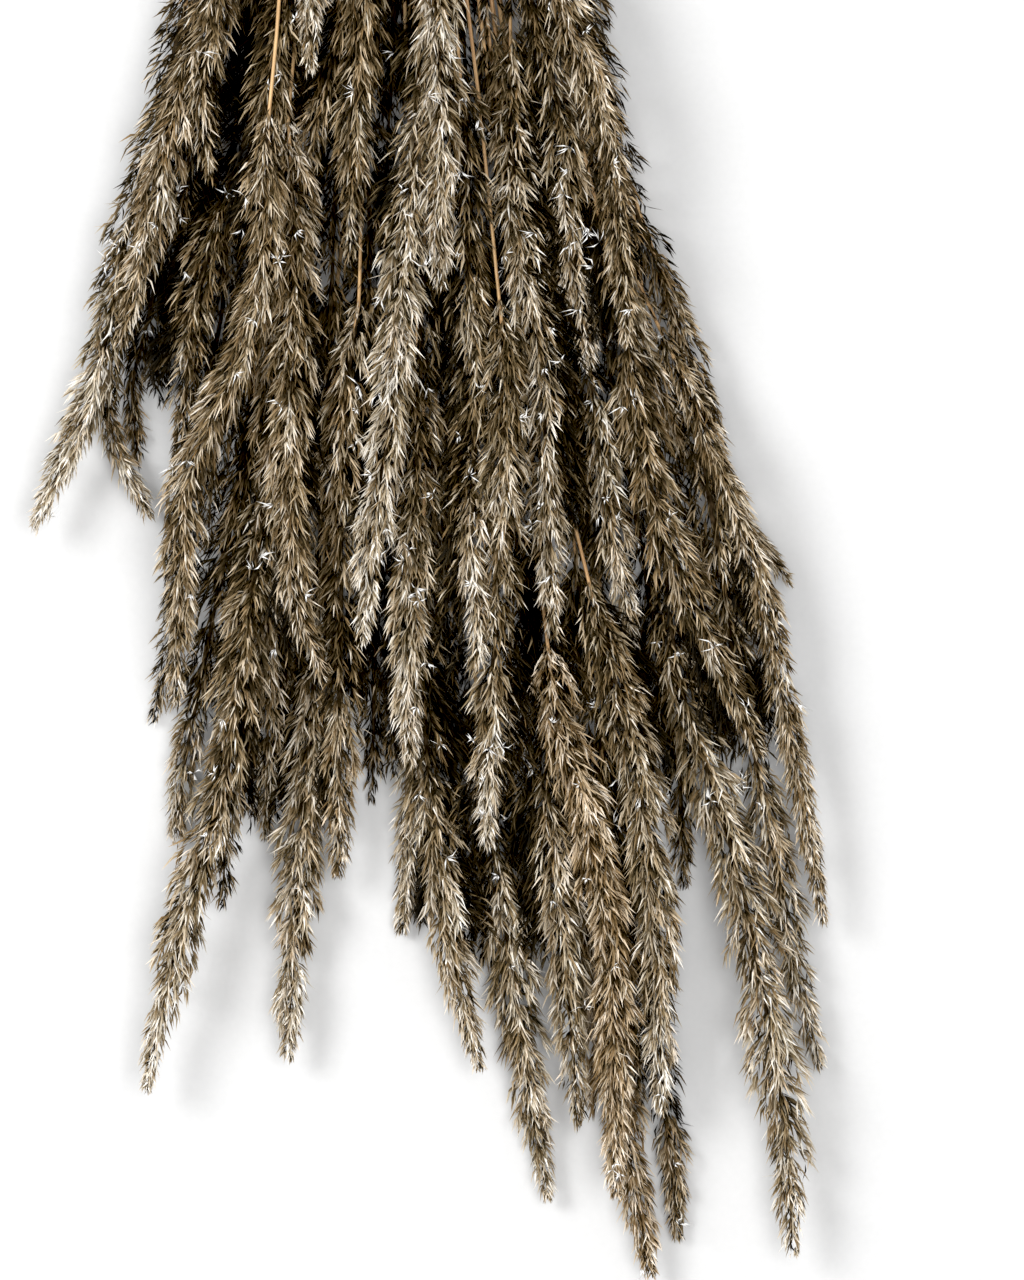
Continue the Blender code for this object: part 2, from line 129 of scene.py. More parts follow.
class Shine:
    """One value in a material, on which arithmetic adds Math nodes."""

    def __init__(self, recipe: "Recipe", socket: bpy.types.NodeSocket) -> None:
        """Wraps the socket that gives the value."""
        self.recipe = recipe
        self.socket = socket

    def math(self, operation: str, *values: object) -> "Shine":
        """Adds a Math node.

        Args:
            operation: The Math node's operation.
            values: Its inputs in order, each a number or a Shine.

        Returns:
            What the node gives.
        """
        inputs = dict(enumerate(values))
        node = self.recipe.node("ShaderNodeMath", {"operation": operation}, inputs)
        return Shine(self.recipe, node.outputs[0])

    def __add__(self, other: object) -> "Shine":
        """Adds."""
        return self.math("ADD", self, other)

    def __sub__(self, other: object) -> "Shine":
        """Takes away."""
        return self.math("SUBTRACT", self, other)

    def __rsub__(self, other: object) -> "Shine":
        """Is taken away from a number."""
        return self.math("SUBTRACT", other, self)

    def __mul__(self, other: object) -> "Shine":
        """Multiplies."""
        return self.math("MULTIPLY", self, other)

    def __truediv__(self, other: object) -> "Shine":
        """Divides."""
        return self.math("DIVIDE", self, other)

    __radd__ = __add__
    __rmul__ = __mul__

    def fraction(self) -> "Shine":
        """The part after the decimal point."""
        return self.math("FRACT", self)

    def floor(self) -> "Shine":
        """The whole number below."""
        return self.math("FLOOR", self)


class Recipe:
    """A material that is being put together."""

    def __init__(self, name: str) -> None:
        """Starts a material with a Principled shader.

        Args:
            name: The material's name.
        """
        self.material = bpy.data.materials.new(name)
        self.material.use_nodes = True
        self.tree = self.material.node_tree
        self.shader = self.tree.nodes["Principled BSDF"]

    def put(self, socket: bpy.types.NodeSocket, value: object) -> None:
        """Links or sets one socket.

        Args:
            socket: The socket.
            value: A Shine, another node's output, or a plain value.
        """
        source = value.socket if isinstance(value, Shine) else value
        if isinstance(source, bpy.types.NodeSocket):
            self.tree.links.new(source, socket)
        else:
            socket.default_value = source

    def node(self, kind: str, settings: dict | None = None, inputs: dict | None = None) -> bpy.types.Node:
        """Adds any node.

        Args:
            kind: The node's type.
            settings: Its settings, and the stops of a colour ramp under "stops".
            inputs: Values or links of its sockets, by name or by place.

        Returns:
            The node.
        """
        made = self.tree.nodes.new(kind)
        for name, value in (settings or {}).items():
            if name == "stops":
                self.set_stops(made.color_ramp, value)
            else:
                setattr(made, name, value)
        for name, value in (inputs or {}).items():
            self.put(made.inputs[name], value)
        return made

    @staticmethod
    def set_stops(ramp: bpy.types.ColorRamp, stops: tuple) -> None:
        """Gives a colour ramp its stops.

        Args:
            ramp: The ramp.
            stops: Its stops, each a place and a colour.
        """
        while len(ramp.elements) < len(stops):
            ramp.elements.new(0.5)
        for element, (place, colour) in zip(ramp.elements, stops):
            element.position = place
            element.color = colour

    def map_place(self) -> tuple[Shine, Shine]:
        """Reads the piece's own map.

        Returns:
            Its two coordinates.
        """
        place = self.node("ShaderNodeUVMap", {"uv_map": UV_MAP})
        parts = self.node("ShaderNodeSeparateXYZ", inputs={0: place.outputs[0]})
        return Shine(self, parts.outputs[0]), Shine(self, parts.outputs[1])

    def ramp(self, value: Shine, stops: tuple) -> bpy.types.NodeSocket:
        """The colour that a ramp gives for a value."""
        return self.node("ShaderNodeValToRGB", {"stops": stops}, {0: value}).outputs[0]

    def mix(self, share: object, first: object, second: object, blend: str = "MIX") -> bpy.types.NodeSocket:
        """Mixes two colours.

        Args:
            share: How much of the second, 0 to 1.
            first: The first colour.
            second: The second colour.
            blend: How they mix.

        Returns:
            The mixed colour.
        """
        settings = {"data_type": "RGBA", "blend_type": blend}
        return self.node("ShaderNodeMix", settings, {0: share, 6: first, 7: second}).outputs[2]

    def noise(self, across: object, along: object, detail: float = 2.0) -> Shine:
        """Noise read at two coordinates.

        Args:
            across: The first coordinate.
            along: The second coordinate.
            detail: How many finer layers it has.

        Returns:
            A value round 0.5.
        """
        place = self.node("ShaderNodeCombineXYZ", inputs={0: across, 1: along})
        inputs = {"Vector": place.outputs[0], "Scale": 1.0, "Detail": detail}
        made = self.node("ShaderNodeTexNoise", {"noise_dimensions": "2D"}, inputs)
        return Shine(self, made.outputs[0])

    def finish(
        self, colour: object, roughness: object, gloss: float, bump: Shine | None = None, depth: float = 0.0
    ) -> None:
        """Wires the shader.

        Args:
            colour: The base colour.
            roughness: The roughness.
            gloss: How much it reflects, where 0.5 is usual.
            bump: The height of a relief, or None.
            depth: The relief's depth in metres.
        """
        self.put(self.shader.inputs["Specular IOR Level"], gloss)
        self.put(self.shader.inputs["Base Color"], colour)
        self.put(self.shader.inputs["Roughness"], roughness)
        if bump is not None:
            relief = self.node("ShaderNodeBump", inputs={"Height": bump, "Distance": depth, "Strength": 1.0})
            self.put(self.shader.inputs["Normal"], relief.outputs[0])


@dataclass(frozen=True)
class SpikeletFinish:
    """Dry chaff, from dark brown to cream, by each spikelet's shade and hue on the map; the shade holds painted light
    and shade as well as the chaff's own tone.
    """

    name: str = "spikelets"
    stops: tuple = (
        (0.0, srgb(17, 16, 11)),
        (0.25, srgb(79, 69, 47)),
        (0.5, srgb(149, 133, 104)),
        (0.75, srgb(212, 203, 186)),
        (1.0, srgb(255, 253, 249)),
    )
    warm: tuple = srgb(255, 235, 208)
    cool: tuple = srgb(252, 249, 242)
    # The painted shade that darkens each spikelet towards its root, where the others overlap it
    root: tuple = srgb(30, 25, 18)
    pale_tip: float = 0.26  # how much lighter it is at its tip than at its root: paler dry tips, and partly a painted highlight
    painted_root_shade: float = 0.14  # how much darker its root is than its shade, in painted shade where the others overlap it
    gloss: float = 0.18

    def material(self) -> bpy.types.Material:
        """Builds the material.

        Returns:
            The material.
        """
        recipe = Recipe(self.name)
        across, up = recipe.map_place()
        shade = across / Surface.SPIKELETS.high
        rows = up * HUES
        hue = rows.floor() / (HUES - 1)
        along = rows.fraction()
        # Each spikelet is painted darker towards its root, as shade where the others overlap it, and lighter towards
        # its tip, partly paler dry tips and partly a painted highlight
        colour = recipe.ramp(shade + along * self.pale_tip - self.painted_root_shade, self.stops)
        tinted = recipe.mix(1.2 - 0.6 * shade, colour, recipe.mix(hue, self.cool, self.warm), "MULTIPLY")
        root_shaded = recipe.mix((1 - along) * (1 - along) * (0.85 - 0.65 * shade), tinted, self.root)
        streaks = recipe.noise(across * 900, along * 2, 1.0)
        recipe.finish(root_shaded, 0.42 + 0.3 * streaks, self.gloss, streaks, 0.00015)
        return recipe.material


@dataclass(frozen=True)
class StrawFinish:
    """Golden straw with fine streaks along it."""

    name: str = "straw"
    dark: tuple = srgb(150, 108, 66)
    light: tuple = srgb(240, 206, 156)

    def material(self) -> bpy.types.Material:
        """Builds the material.

        Returns:
            The material.
        """
        recipe = Recipe(self.name)
        across, along = recipe.map_place()
        streaks = recipe.noise(across * 160, along * 9, 3.0)
        patches = recipe.noise(across * 4, along * 26, 2.0)
        colour = recipe.ramp(streaks * 0.7 + patches * 0.5 - 0.1, ((0.25, self.dark), (0.75, self.light)))
        recipe.finish(colour, 0.35 + 0.25 * patches, 0.5, streaks, 0.0002)
        return recipe.material


@dataclass(frozen=True)
class FluffFinish:
    """White silky seed hairs."""

    name: str = "seed_fluff"
    low: tuple = srgb(222, 222, 220)
    high: tuple = srgb(255, 254, 252)

    def material(self) -> bpy.types.Material:
        """Builds the material.

        Returns:
            The material.
        """
        recipe = Recipe(self.name)
        across, along = recipe.map_place()
        colour = recipe.ramp(recipe.noise(across * 200, along * 3, 1.0), ((0.3, self.low), (0.6, self.high)))
        recipe.finish(colour, 0.4, 0.5)
        return recipe.material


@dataclass(frozen=True)
class CoreFinish:
    """The matted inside of a flower head, its dark brown partly its own and partly painted shade of the head's
    depths.
    """

    name: str = "head_core"
    low: tuple = srgb(34, 28, 21)
    high: tuple = srgb(84, 70, 52)

    def material(self) -> bpy.types.Material:
        """Builds the material.

        Returns:
            The material.
        """
        recipe = Recipe(self.name)
        across, along = recipe.map_place()
        mat = recipe.noise(across * 90, along * 60, 3.0)
        recipe.finish(recipe.ramp(mat, ((0.3, self.low), (0.7, self.high))), 0.9, 0.05, mat, 0.0008)
        return recipe.material


@dataclass(frozen=True)
class TwineFinish:
    """Rough plant fibre, with pale and dark fibres side by side."""

    name: str = "twine"
    dark: tuple = srgb(112, 82, 50)
    light: tuple = srgb(196, 162, 116)

    def material(self) -> bpy.types.Material:
        """Builds the material.

        Returns:
            The material.
        """
        recipe = Recipe(self.name)
        across, along = recipe.map_place()
        fibres = recipe.noise(across * 14 + along * 260, along * 90, 3.0)
        colour = recipe.ramp(fibres, ((0.3, self.dark), (0.68, self.light)))
        recipe.finish(colour, 0.75 + 0.2 * fibres, 0.25, fibres, 0.0005)
        return recipe.material


@dataclass(frozen=True)
class FloorFinish:
    """A plain pale painted board."""

    name: str = "pale_floor"
    low: tuple = srgb(203, 203, 203)
    high: tuple = srgb(205, 205, 205)

    def material(self) -> bpy.types.Material:
        """Builds the material.

        Returns:
            The material.
        """
        recipe = Recipe(self.name)
        place = recipe.node("ShaderNodeTexCoord")
        inputs = {"Vector": place.outputs["Object"], "Scale": 400.0, "Detail": 4.0}
        grain = Shine(recipe, recipe.node("ShaderNodeTexNoise", inputs=inputs).outputs[0])
        recipe.finish(recipe.ramp(grain, ((0.3, self.low), (0.7, self.high))), 0.7, 0.2)
        return recipe.material


@dataclass
class Shell:
    """Plain arrays of a closed form: corners, faces, and each face corner's place on the map."""

    corners: np.ndarray
    faces: list
    places: np.ndarray

    def copies(
        self,
        root: np.ndarray,
        ways: tuple,
        size: np.ndarray,
        radius: np.ndarray,
        bow: np.ndarray | float = 0.0,
        curl: np.ndarray | float = 0.0,
    ) -> np.ndarray:
        """Sets out bent copies of a form that is 1 long and 1 in radius. Lengths are in mm.

        Args:
            root: Where each starts, copies by 3.
            ways: Where each points, which way is outwards and which way is sideways for it.
            size: Their lengths.
            radius: Their radii.
            bow: How far their middles bow outwards.
            curl: How far their middles bow sideways.

        Returns:
            Their corners, copies by corners by 3.
        """
        along, outward, sideways = ways
        x, y, z = self.corners.T
        arch = 4 * z * (1 - z)
        corners = np.repeat(root[:, None], len(z), axis=1)
        bends = ((bow, arch, outward), (curl, arch, sideways))
        for amount, profile, way in ((size, z, along), *bends, (radius, x, outward), (radius, y, sideways)):
            corners += (np.reshape(amount, (-1, 1)) * profile)[..., None] * way[:, None]
        return corners


def shell_of(mesh: bmesh.types.BMesh, places: list) -> Shell:
    """Reads a bmesh into arrays and frees it.

    Args:
        mesh: The bmesh.
        places: The map place of each face corner, in order.

    Returns:
        The shell.
    """
    mesh.verts.index_update()
    corners = np.array([vert.co for vert in mesh.verts])
    faces = [[vert.index for vert in face.verts] for face in mesh.faces]
    mesh.free()
    return Shell(corners, faces, np.array(places))


def unit_spindle(belly: float = 0.42) -> Shell:
    """The three-sided spindle that every spikelet and hair is a copy of, 1 long and 1 in radius.

    Args:
        belly: How far along it is widest.

    Returns:
        The spindle, with its map place across (0 to 1) and along (0 to 1).
    """
    mesh = bmesh.new()
    bmesh.ops.create_cone(mesh, cap_ends=True, segments=3, radius1=1, radius2=0, depth=1 - belly)
    bmesh.ops.remove_doubles(mesh, verts=mesh.verts, dist=1e-4)
    bmesh.ops.translate(mesh, verts=mesh.verts, vec=(0, 0, (1 + belly) / 2))
    cap = min(mesh.faces, key=lambda face: face.calc_center_median().z)
    root = bmesh.ops.poke(mesh, faces=[cap])["verts"]
    bmesh.ops.translate(mesh, verts=root, vec=(0, 0, -belly))
    bmesh.ops.recalc_face_normals(mesh, faces=mesh.faces)
    places = []
    for face in mesh.faces:
        edge = iter((0.08, 0.92))
        for vert in face.verts:
            ring = math.hypot(vert.co.x, vert.co.y) > 0.5
            places.append((next(edge) if ring else 0.5, min(max(vert.co.z, 0.03), 0.97)))
    return shell_of(mesh, places)


def unit_tube(sides: int, rings: int, hollow: float = 0.0) -> Shell:
    """A straight tube of radius 1 from height 0 to 1, to be bent along a path.

    Args:
        sides: How many sides it has.
        rings: How many rings of corners it has along its length.
        hollow: Depth of a hole in its lower end, as a share of the space between two rings, or 0.

    Returns:
        The tube, with its map place round it and along it.
    """
    mesh = bmesh.new()
    bmesh.ops.create_cone(mesh, cap_ends=True, segments=sides, radius1=1, radius2=1, depth=1)
    bmesh.ops.translate(mesh, verts=mesh.verts, vec=(0, 0, 0.5))
    upright = [edge for edge in mesh.edges if abs(edge.verts[0].co.z - edge.verts[1].co.z) > 0.5]
    bmesh.ops.subdivide_edges(mesh, edges=upright, cuts=rings - 2, use_grid_fill=True)
    if hollow:
        cap = min(mesh.faces, key=lambda face: face.calc_center_median().z)
        bmesh.ops.inset_individual(mesh, faces=[cap], thickness=0.35, use_even_offset=True)
        pit = bmesh.ops.extrude_discrete_faces(mesh, faces=[cap])["faces"]
        inner = [vert for face in pit for vert in face.verts]
        bmesh.ops.translate(mesh, verts=inner, vec=(0, 0, hollow / (rings - 1)))
    bmesh.ops.recalc_face_normals(mesh, faces=mesh.faces)
    places = []
    for face in mesh.faces:
        middle = face.calc_center_median()
        level = abs(face.normal.z) > 0.5
        for vert in face.verts:
            if level:  # the flat ends lie on small patches of the map
                places.append((0.5 + 0.4 * vert.co.x, abs(middle.z - 0.02) * 0.97 + 0.015 * vert.co.y + 0.015))
                continue
            turn = math.atan2(vert.co.y, vert.co.x) / (2 * math.pi) % 1.0
            home = math.atan2(middle.y, middle.x) / (2 * math.pi) % 1.0
            turn += round(home - turn)
            places.append((min(max(turn, 0.0), 1.0), vert.co.z))
    return shell_of(mesh, places)


@dataclass
class Harvest:
    """The forms of one piece, gathered before they are made one mesh."""

    corners: list = field(default_factory=list)
    loops: list = field(default_factory=list)
    sizes: list = field(default_factory=list)
    places: list = field(default_factory=list)
    finishes: list = field(default_factory=list)
    count: int = 0

    def add(self, shell: Shell, corners: np.ndarray, places: np.ndarray, surface: Surface) -> None:
        """Adds copies of a form.

        Args:
            shell: The form, for its faces.
            corners: The corners of each copy in mm, copies by corners by 3.
            places: The place of each face corner of each copy on the surface's map, copies by face corners by 2.
            surface: The kind of surface.
        """
        copies, each = corners.shape[:2]
        loops = np.array([index for face in shell.faces for index in face])
        starts = self.count + each * np.arange(copies)
        self.loops.append((starts[:, None] + loops[None, :]).ravel())
        self.sizes.append(np.tile([len(face) for face in shell.faces], copies))
        self.finishes.append(np.full(copies * len(shell.faces), surface.material))
        self.corners.append(corners.reshape(-1, 3))
        self.places.append(surface.stretch(places).reshape(-1, 2))
        self.count += copies * each

    def piece(self, name: str, materials: list) -> bpy.types.Object:
        """Makes the object.

        Args:
            name: The piece's name.
            materials: Its materials, in the order of their numbers.

        Returns:
            The object, at the origin, with its place in its mesh.
        """
        corners = np.concatenate(self.corners) * MM
        loops = np.concatenate(self.loops)
        sizes = np.concatenate(self.sizes)
        data = bpy.data.meshes.new(name)
        data.vertices.add(len(corners))
        data.vertices.foreach_set("co", corners.astype(np.float32).ravel())
        data.loops.add(len(loops))
        data.loops.foreach_set("vertex_index", loops.astype(np.int32))
        data.polygons.add(len(sizes))
        data.polygons.foreach_set("loop_start", (np.cumsum(sizes) - sizes).astype(np.int32))
        data.polygons.foreach_set("material_index", np.concatenate(self.finishes).astype(np.int32))
        data.update(calc_edges=True)
        layer = data.uv_layers.new(name=UV_MAP)
        layer.uv.foreach_set("vector", np.concatenate(self.places).astype(np.float32).ravel())
        layer.active_render = True
        # Spikelets and fibres keep their edges
        data.polygons.foreach_set("use_smooth", np.concatenate(self.finishes) > Surface.SPIKELETS.material)
        for material in materials:
            data.materials.append(material)
        data.validate()
        made = bpy.data.objects.new(name, data)
        bpy.context.scene.collection.objects.link(made)
        return made


@dataclass
class Path:
    """A line in space with a side and an upper direction at each of its points, by a distance along it."""

    distance: np.ndarray
    centre: np.ndarray
    side: np.ndarray = field(init=False)
    rise: np.ndarray = field(init=False)

    def __post_init__(self) -> None:
        """Works out the directions."""
        along = unit(np.gradient(self.centre, self.distance, axis=0))
        reference = np.where(np.abs(along[:, 2:]) > 0.95, (1.0, 0.0, 0.0), (0.0, 0.0, 1.0))
        self.side = unit(np.cross(reference, along))
        self.rise = np.cross(along, self.side)

    def read(self, values: np.ndarray, where: np.ndarray) -> np.ndarray:
        """Reads one of the path's arrays between its points, and beyond its ends as it is there.

        Args:
            values: The array.
            where: The distances at which it is read.

        Returns:
            Its value at each distance.
        """
        low, high = self.distance[0], self.distance[-1]
        inside = np.clip(where, low, high)
        k = np.clip(np.searchsorted(self.distance, inside) - 1, 0, len(self.distance) - 2)
        t = ((inside - self.distance[k]) / (self.distance[k + 1] - self.distance[k]))[..., None]
        return values[k] * (1 - t) + values[k + 1] * t

    def point(self, where: np.ndarray, across: np.ndarray, over: np.ndarray) -> np.ndarray:
        """Points beside the path.

        Args:
            where: Distances along it.
            across: How far to its side, in mm.
            over: How far above it, in mm.

        Returns:
            The points, in mm.
        """
        centre = self.read(self.centre, where)
        beyond = where - np.clip(where, self.distance[0], self.distance[-1])
        ends = unit(self.centre[-1] - self.centre[-4])
        side, rise = self.read(self.side, where), self.read(self.rise, where)
        return centre + beyond[..., None] * ends + across[..., None] * side + over[..., None] * rise

    def sweep(self, tube: Shell, rings: np.ndarray, radii: np.ndarray) -> np.ndarray:
        """Bends a straight tube along the path.

        Args:
            tube: The tube.
            rings: The distance of each of its rings.
            radii: The radius at each of its rings, in mm.

        Returns:
            The corners, 1 by corners by 3, in mm.
        """
        ring = tube.corners[:, 2] * (len(rings) - 1)
        where = np.interp(ring, np.arange(len(rings)), rings)
        radius = np.interp(ring, np.arange(len(rings)), radii)
        return self.point(where, radius * tube.corners[:, 0], radius * tube.corners[:, 1])[None]


def settle(points: np.ndarray, softness: float = 0.9) -> np.ndarray:
    """Presses points onto the floor, so that none goes below it.

    Args:
        points: Points in mm, changed in place.
        softness: The depth over which they flatten, in mm.

    Returns:
        The same points.
    """
    height = points[..., 2]
    points[..., 2] = softness * np.logaddexp(0.0, height / softness)
    return points


def ring_levels(away: np.ndarray) -> list:
    """Finds where along a CAD stalk its corners lie, with those of one ring taken together.

    Args:
        away: The distance of each corner.

    Returns:
        The distances of the rings, in order.
    """
    grain, apart = 0.05, 0.12
    merged = []
    for level in np.unique(np.round(np.sort(away) / grain).astype(int)) * grain:
        if not merged or level - merged[-1] > apart:
            merged.append(level)
    return merged


def read_rings(node: bpy.types.Object) -> tuple[np.ndarray, np.ndarray, float]:
    """Reads the middles of the rings of a CAD stalk.

    The stem has rings of six corners. The head has a ring at every station, three of whose corners stay at the
    station and three of which are drawn out, and ends in a small ring of six at its tip.

    Args:
        node: The stalk's CAD node.

    Returns:
        The rings' distances, their middles, and the distance at which the head starts.
    """
    corners = np.unique(np.round(np.array([vert.co for vert in node.data.vertices]) / MM, 3), axis=0)
    away = -corners[:, 1]
    tip = away.max()
    knots, middles, head_start = [], [], None
    for level in ring_levels(away):
        ring = corners[np.abs(away - level) < 0.1]
        in_stem = head_start is None and len(ring) == 6
        in_head = len(ring) == 3
        if in_head and head_start is None:
            head_start = knots[-1]
        at_station = abs(level / STATION - round(level / STATION)) < 0.02 and level < tip - STATION / 2
        if in_stem or (in_head and at_station) or level > tip - 0.12:
            knots.append(float(level))
            middles.append(ring.mean(axis=0))
    return np.array(knots), np.array(middles), head_start


def eased(line: np.ndarray, softness: float) -> np.ndarray:
    """Rounds the bends of a line, and runs it straight on at both ends so that they stay in place.

    Args:
        line: Its points at even steps, points by coordinates.
        softness: Over how many steps the bends are rounded.

    Returns:
        The rounded line, with as many points.
    """
    reach = round(3 * softness)
    kernel = np.exp(-0.5 * (np.arange(-reach, reach + 1) / softness) ** 2)
    kernel /= kernel.sum()
    before = line[0] + (line[0] - line[1]) * np.arange(reach, 0, -1)[:, None]
    after = line[-1] + (line[-2] - line[-6]) / 4 * np.arange(1, reach + 1)[:, None]
    longer = np.concatenate([before, line, after])
    return np.stack([np.convolve(column, kernel, "valid") for column in longer.T], axis=1)


def node_path(node: bpy.types.Object) -> tuple[Path, float]:
    """Reads a stalk's path from its CAD node.

    Args:
        node: The node.

    Returns:
        The path, and the distance at which the head starts.
    """
    knots, middles, head_start = read_rings(node)
    grid = np.append(np.arange(knots[0], knots[-1], 1.0), knots[-1])
    x, z = eased(np.stack([np.interp(grid, knots, middles[:, axis]) for axis in (0, 2)], axis=1), 6.0).T
    return Path(grid, np.stack([x, -grid, z], axis=1)), head_start


@dataclass(frozen=True)
class Look:
    """How light a head is, how brown, and how much lighter its tip is, each 0 to 1. The last also sets how much
    darker, in painted shade, its start is.
    """

    shade: float
    warmth: float
    pale_tip: float


class Tone(Enum):
    """The kinds of head in the bunch, by how long the sun has bleached them. SHADED heads are darker partly in their
    own tone and partly as painted shade of the heads above them.
    """

    BLEACHED = Look(0.68, 0.3, 0.11)
    LIGHT = Look(0.6, 0.38, 0.1)
    PALE_ENDED = Look(0.54, 0.4, 0.23)
    USUAL = Look(0.53, 0.5, 0.06)
    SHADED = Look(0.44, 0.48, 0.05)
    STRAW = Look(0.61, 0.8, 0.06)


@dataclass
class Branches:
    """Side branches of a head, each array with one value for each of them. Lengths are in mm."""

    base: np.ndarray  # the distance at which it leaves the axis
    turn: np.ndarray  # the angle round the axis at which it stands
    length: np.ndarray
    reach: np.ndarray  # how far from the axis its tip is
    limit: np.ndarray  # how far from the axis its spikelets may end
    bare: np.ndarray  # how little it is covered by other heads, where 1 is not at all

    def joined(self, others: "Branches") -> "Branches":
        """These branches and after them the others."""
        return Branches(*(np.append(first, second) for first, second in zip(astuple(self), astuple(others))))

    def picked(self, which: np.ndarray) -> "Branches":
        """The branches with the given numbers."""
        return Branches(*(values[which] for values in astuple(self)))


@dataclass
class Spikelets:
    """Spikelets of a head, each array with one value for each of them. Lengths are in mm."""

    where: np.ndarray  # the distance of its root
    out: np.ndarray  # how far its root is from the axis
    turn: np.ndarray  # the angle round the axis at which it stands
    direction: np.ndarray  # where it points: along the axis, outwards and sideways
    size: np.ndarray
    radius: np.ndarray
    bow: np.ndarray  # how far it bows outwards
    curl: np.ndarray  # how far it bows sideways
    shade: np.ndarray  # how light it is, 0 to 1
    hue: np.ndarray  # how brown it is, 0 to 1


@dataclass
class FlowerHead:
    """A feathery head: branches in whorls along its axis, each set with spikelets that point to the tip."""

    path: Path
    start: float
    tip: float
    bareness: np.ndarray
    gaps: np.ndarray
    tone: Tone
    draw: np.random.Generator
    spindle: Shell
    # The outline. Lengths are in mm
    fullness: float = 1.0
    radius: float = 11.0
    opening: float = 0.3  # how wide the head is where it starts, against its middle
    swell: float = 0.10  # the share of its length over which it widens
    taper: float = 64.0
    taper_power: float = 0.56
    # The core
    core_share: float = 0.09
    core_rings: int = 26
    core_change: tuple = (0.6, 1.4)
    # The branches
    whorl_space: float = 7.4
    whorl_jitter: float = 2.5
    branches_each: int = 6
    branch_jitter: float = 2.0
    branch_turn: float = 0.35
    branch_length: float = 13.0
    length_change: tuple = (0.6, 1.3)
    branch_reach: tuple = (0.25, 0.68)  # how far out a branch's tip is, against the head's radius there
    bend: float = 1.7  # how strongly a branch turns back to run along the axis
    # The branches that close gaps
    filler_length: tuple = (16, 26)
    filler_jitter: float = 2.0
    filler_droop: float = 0.15  # how far below the side it leads, in radians
    filler_turn: float = 0.25
    filler_room: float = 4.0  # how far past its tip its spikelets may end
    # Low, so that the fillers are painted dark as the shade in the gaps
    filler_bare: float = 0.2
    # The spikelets
    spikelets: int = 3560
    gap_spikelets: int = 14
    fewest: float = 0.2  # the share of its spikelets that a head has where it is wholly covered
    upturned: float = 0.3  # how much more of them the branches above the axis have
    hugging: float = 0.2  # the share of spikelets that lie close to the axis
    stray: float = 0.02  # the share of fine hairs that stand well out
    inmost: float = 0.9  # how near the axis a spikelet's root can be
    spikelet_length: float = 7.2
    size_change: tuple = (0.7, 1.35)
    spikelet_radius: float = 0.43
    radius_change: tuple = (0.7, 1.2)
    stray_radius: float = 0.16
    bow: tuple = (-0.02, 0.14)  # against the spikelet's length
    curl: float = 0.06
    # The angles at which they stand out, in degrees
    spread: tuple = (13, 46)
    stray_spread: tuple = (45, 80)
    hugging_spread: tuple = (4, 28)
    # The shades and hues, each 0 to 1; several of the shades are painted light and shade
    branch_shade: float = 0.07
    filler_painted_shade: float = 0.3
    spikelet_shade: float = 0.165
    # Painted light and shade: the head's outer spikelets lighter and inner ones darker, covered heads darker, and
    # spikelets on top lighter than those underneath
    painted_inner_shade: float = 0.6
    hugging_light: float = 0.12
    painted_cover_shade: float = 0.5
    painted_top_light: float = 0.13
    branch_hue: float = 0.1
    spikelet_hue: float = 0.17
    start_painted_shade: float = 0.7  # how much darker a head starts, in painted shade where it lies under others, against how much paler it ends
    start_run: float = 90.0
    pale_slope: float = 2.2  # the head pales from 1.2 / 2.2 of its length on
    pale_offset: float = 1.2

    def width(self, where: np.ndarray) -> np.ndarray:
        """Works out how wide the head is.

        Args:
            where: Distances along it.

        Returns:
            Its radius at each of them, in mm.
        """
        along = (where - self.start) / (self.tip - self.start)
        opened = self.opening + (1 - self.opening) * smoothstep(along / self.swell)
        closed = np.clip((self.tip + 1 - where) / self.taper, 0.004, 1.0) ** self.taper_power
        return self.fullness * self.radius * opened * closed

    def brim(self, where: np.ndarray) -> np.ndarray:
        """How far from the axis spikelets may end at each distance, in mm."""
        return 1.15 * self.width(where) + 0.6

    def build(self, harvest: Harvest) -> None:
        """Adds the head to a harvest."""
        self.add_core(harvest)
        self.add_spikelets(harvest)

    def add_core(self, harvest: Harvest) -> None:
        """Adds the matted core that the spikelets stand out of.

        Args:
            harvest: Where it goes.
        """
        rings = np.linspace(self.start + 1, self.tip - 6, self.core_rings)
        radii = self.core_share * self.width(rings) * self.draw.uniform(*self.core_change, len(rings))
        radii[[0, -1]] = 0.5
        tube = unit_tube(6, len(rings))
        harvest.add(tube, settle(self.path.sweep(tube, rings, radii)), tube.places[None], Surface.CORE)

    def add_spikelets(self, harvest: Harvest) -> None:
        """Adds the branches' spikelets.

        Args:
            harvest: Where they go.
        """
        whorls = self.whorls()
        chosen = self.choose(whorls)
        fillers = self.fillers()
        first = len(whorls.base)
        numbers = np.append(chosen, np.repeat(first + np.arange(len(fillers.base)), self.gap_spikelets))
        self.strew(harvest, self.grow(whorls.joined(fillers), first, numbers))

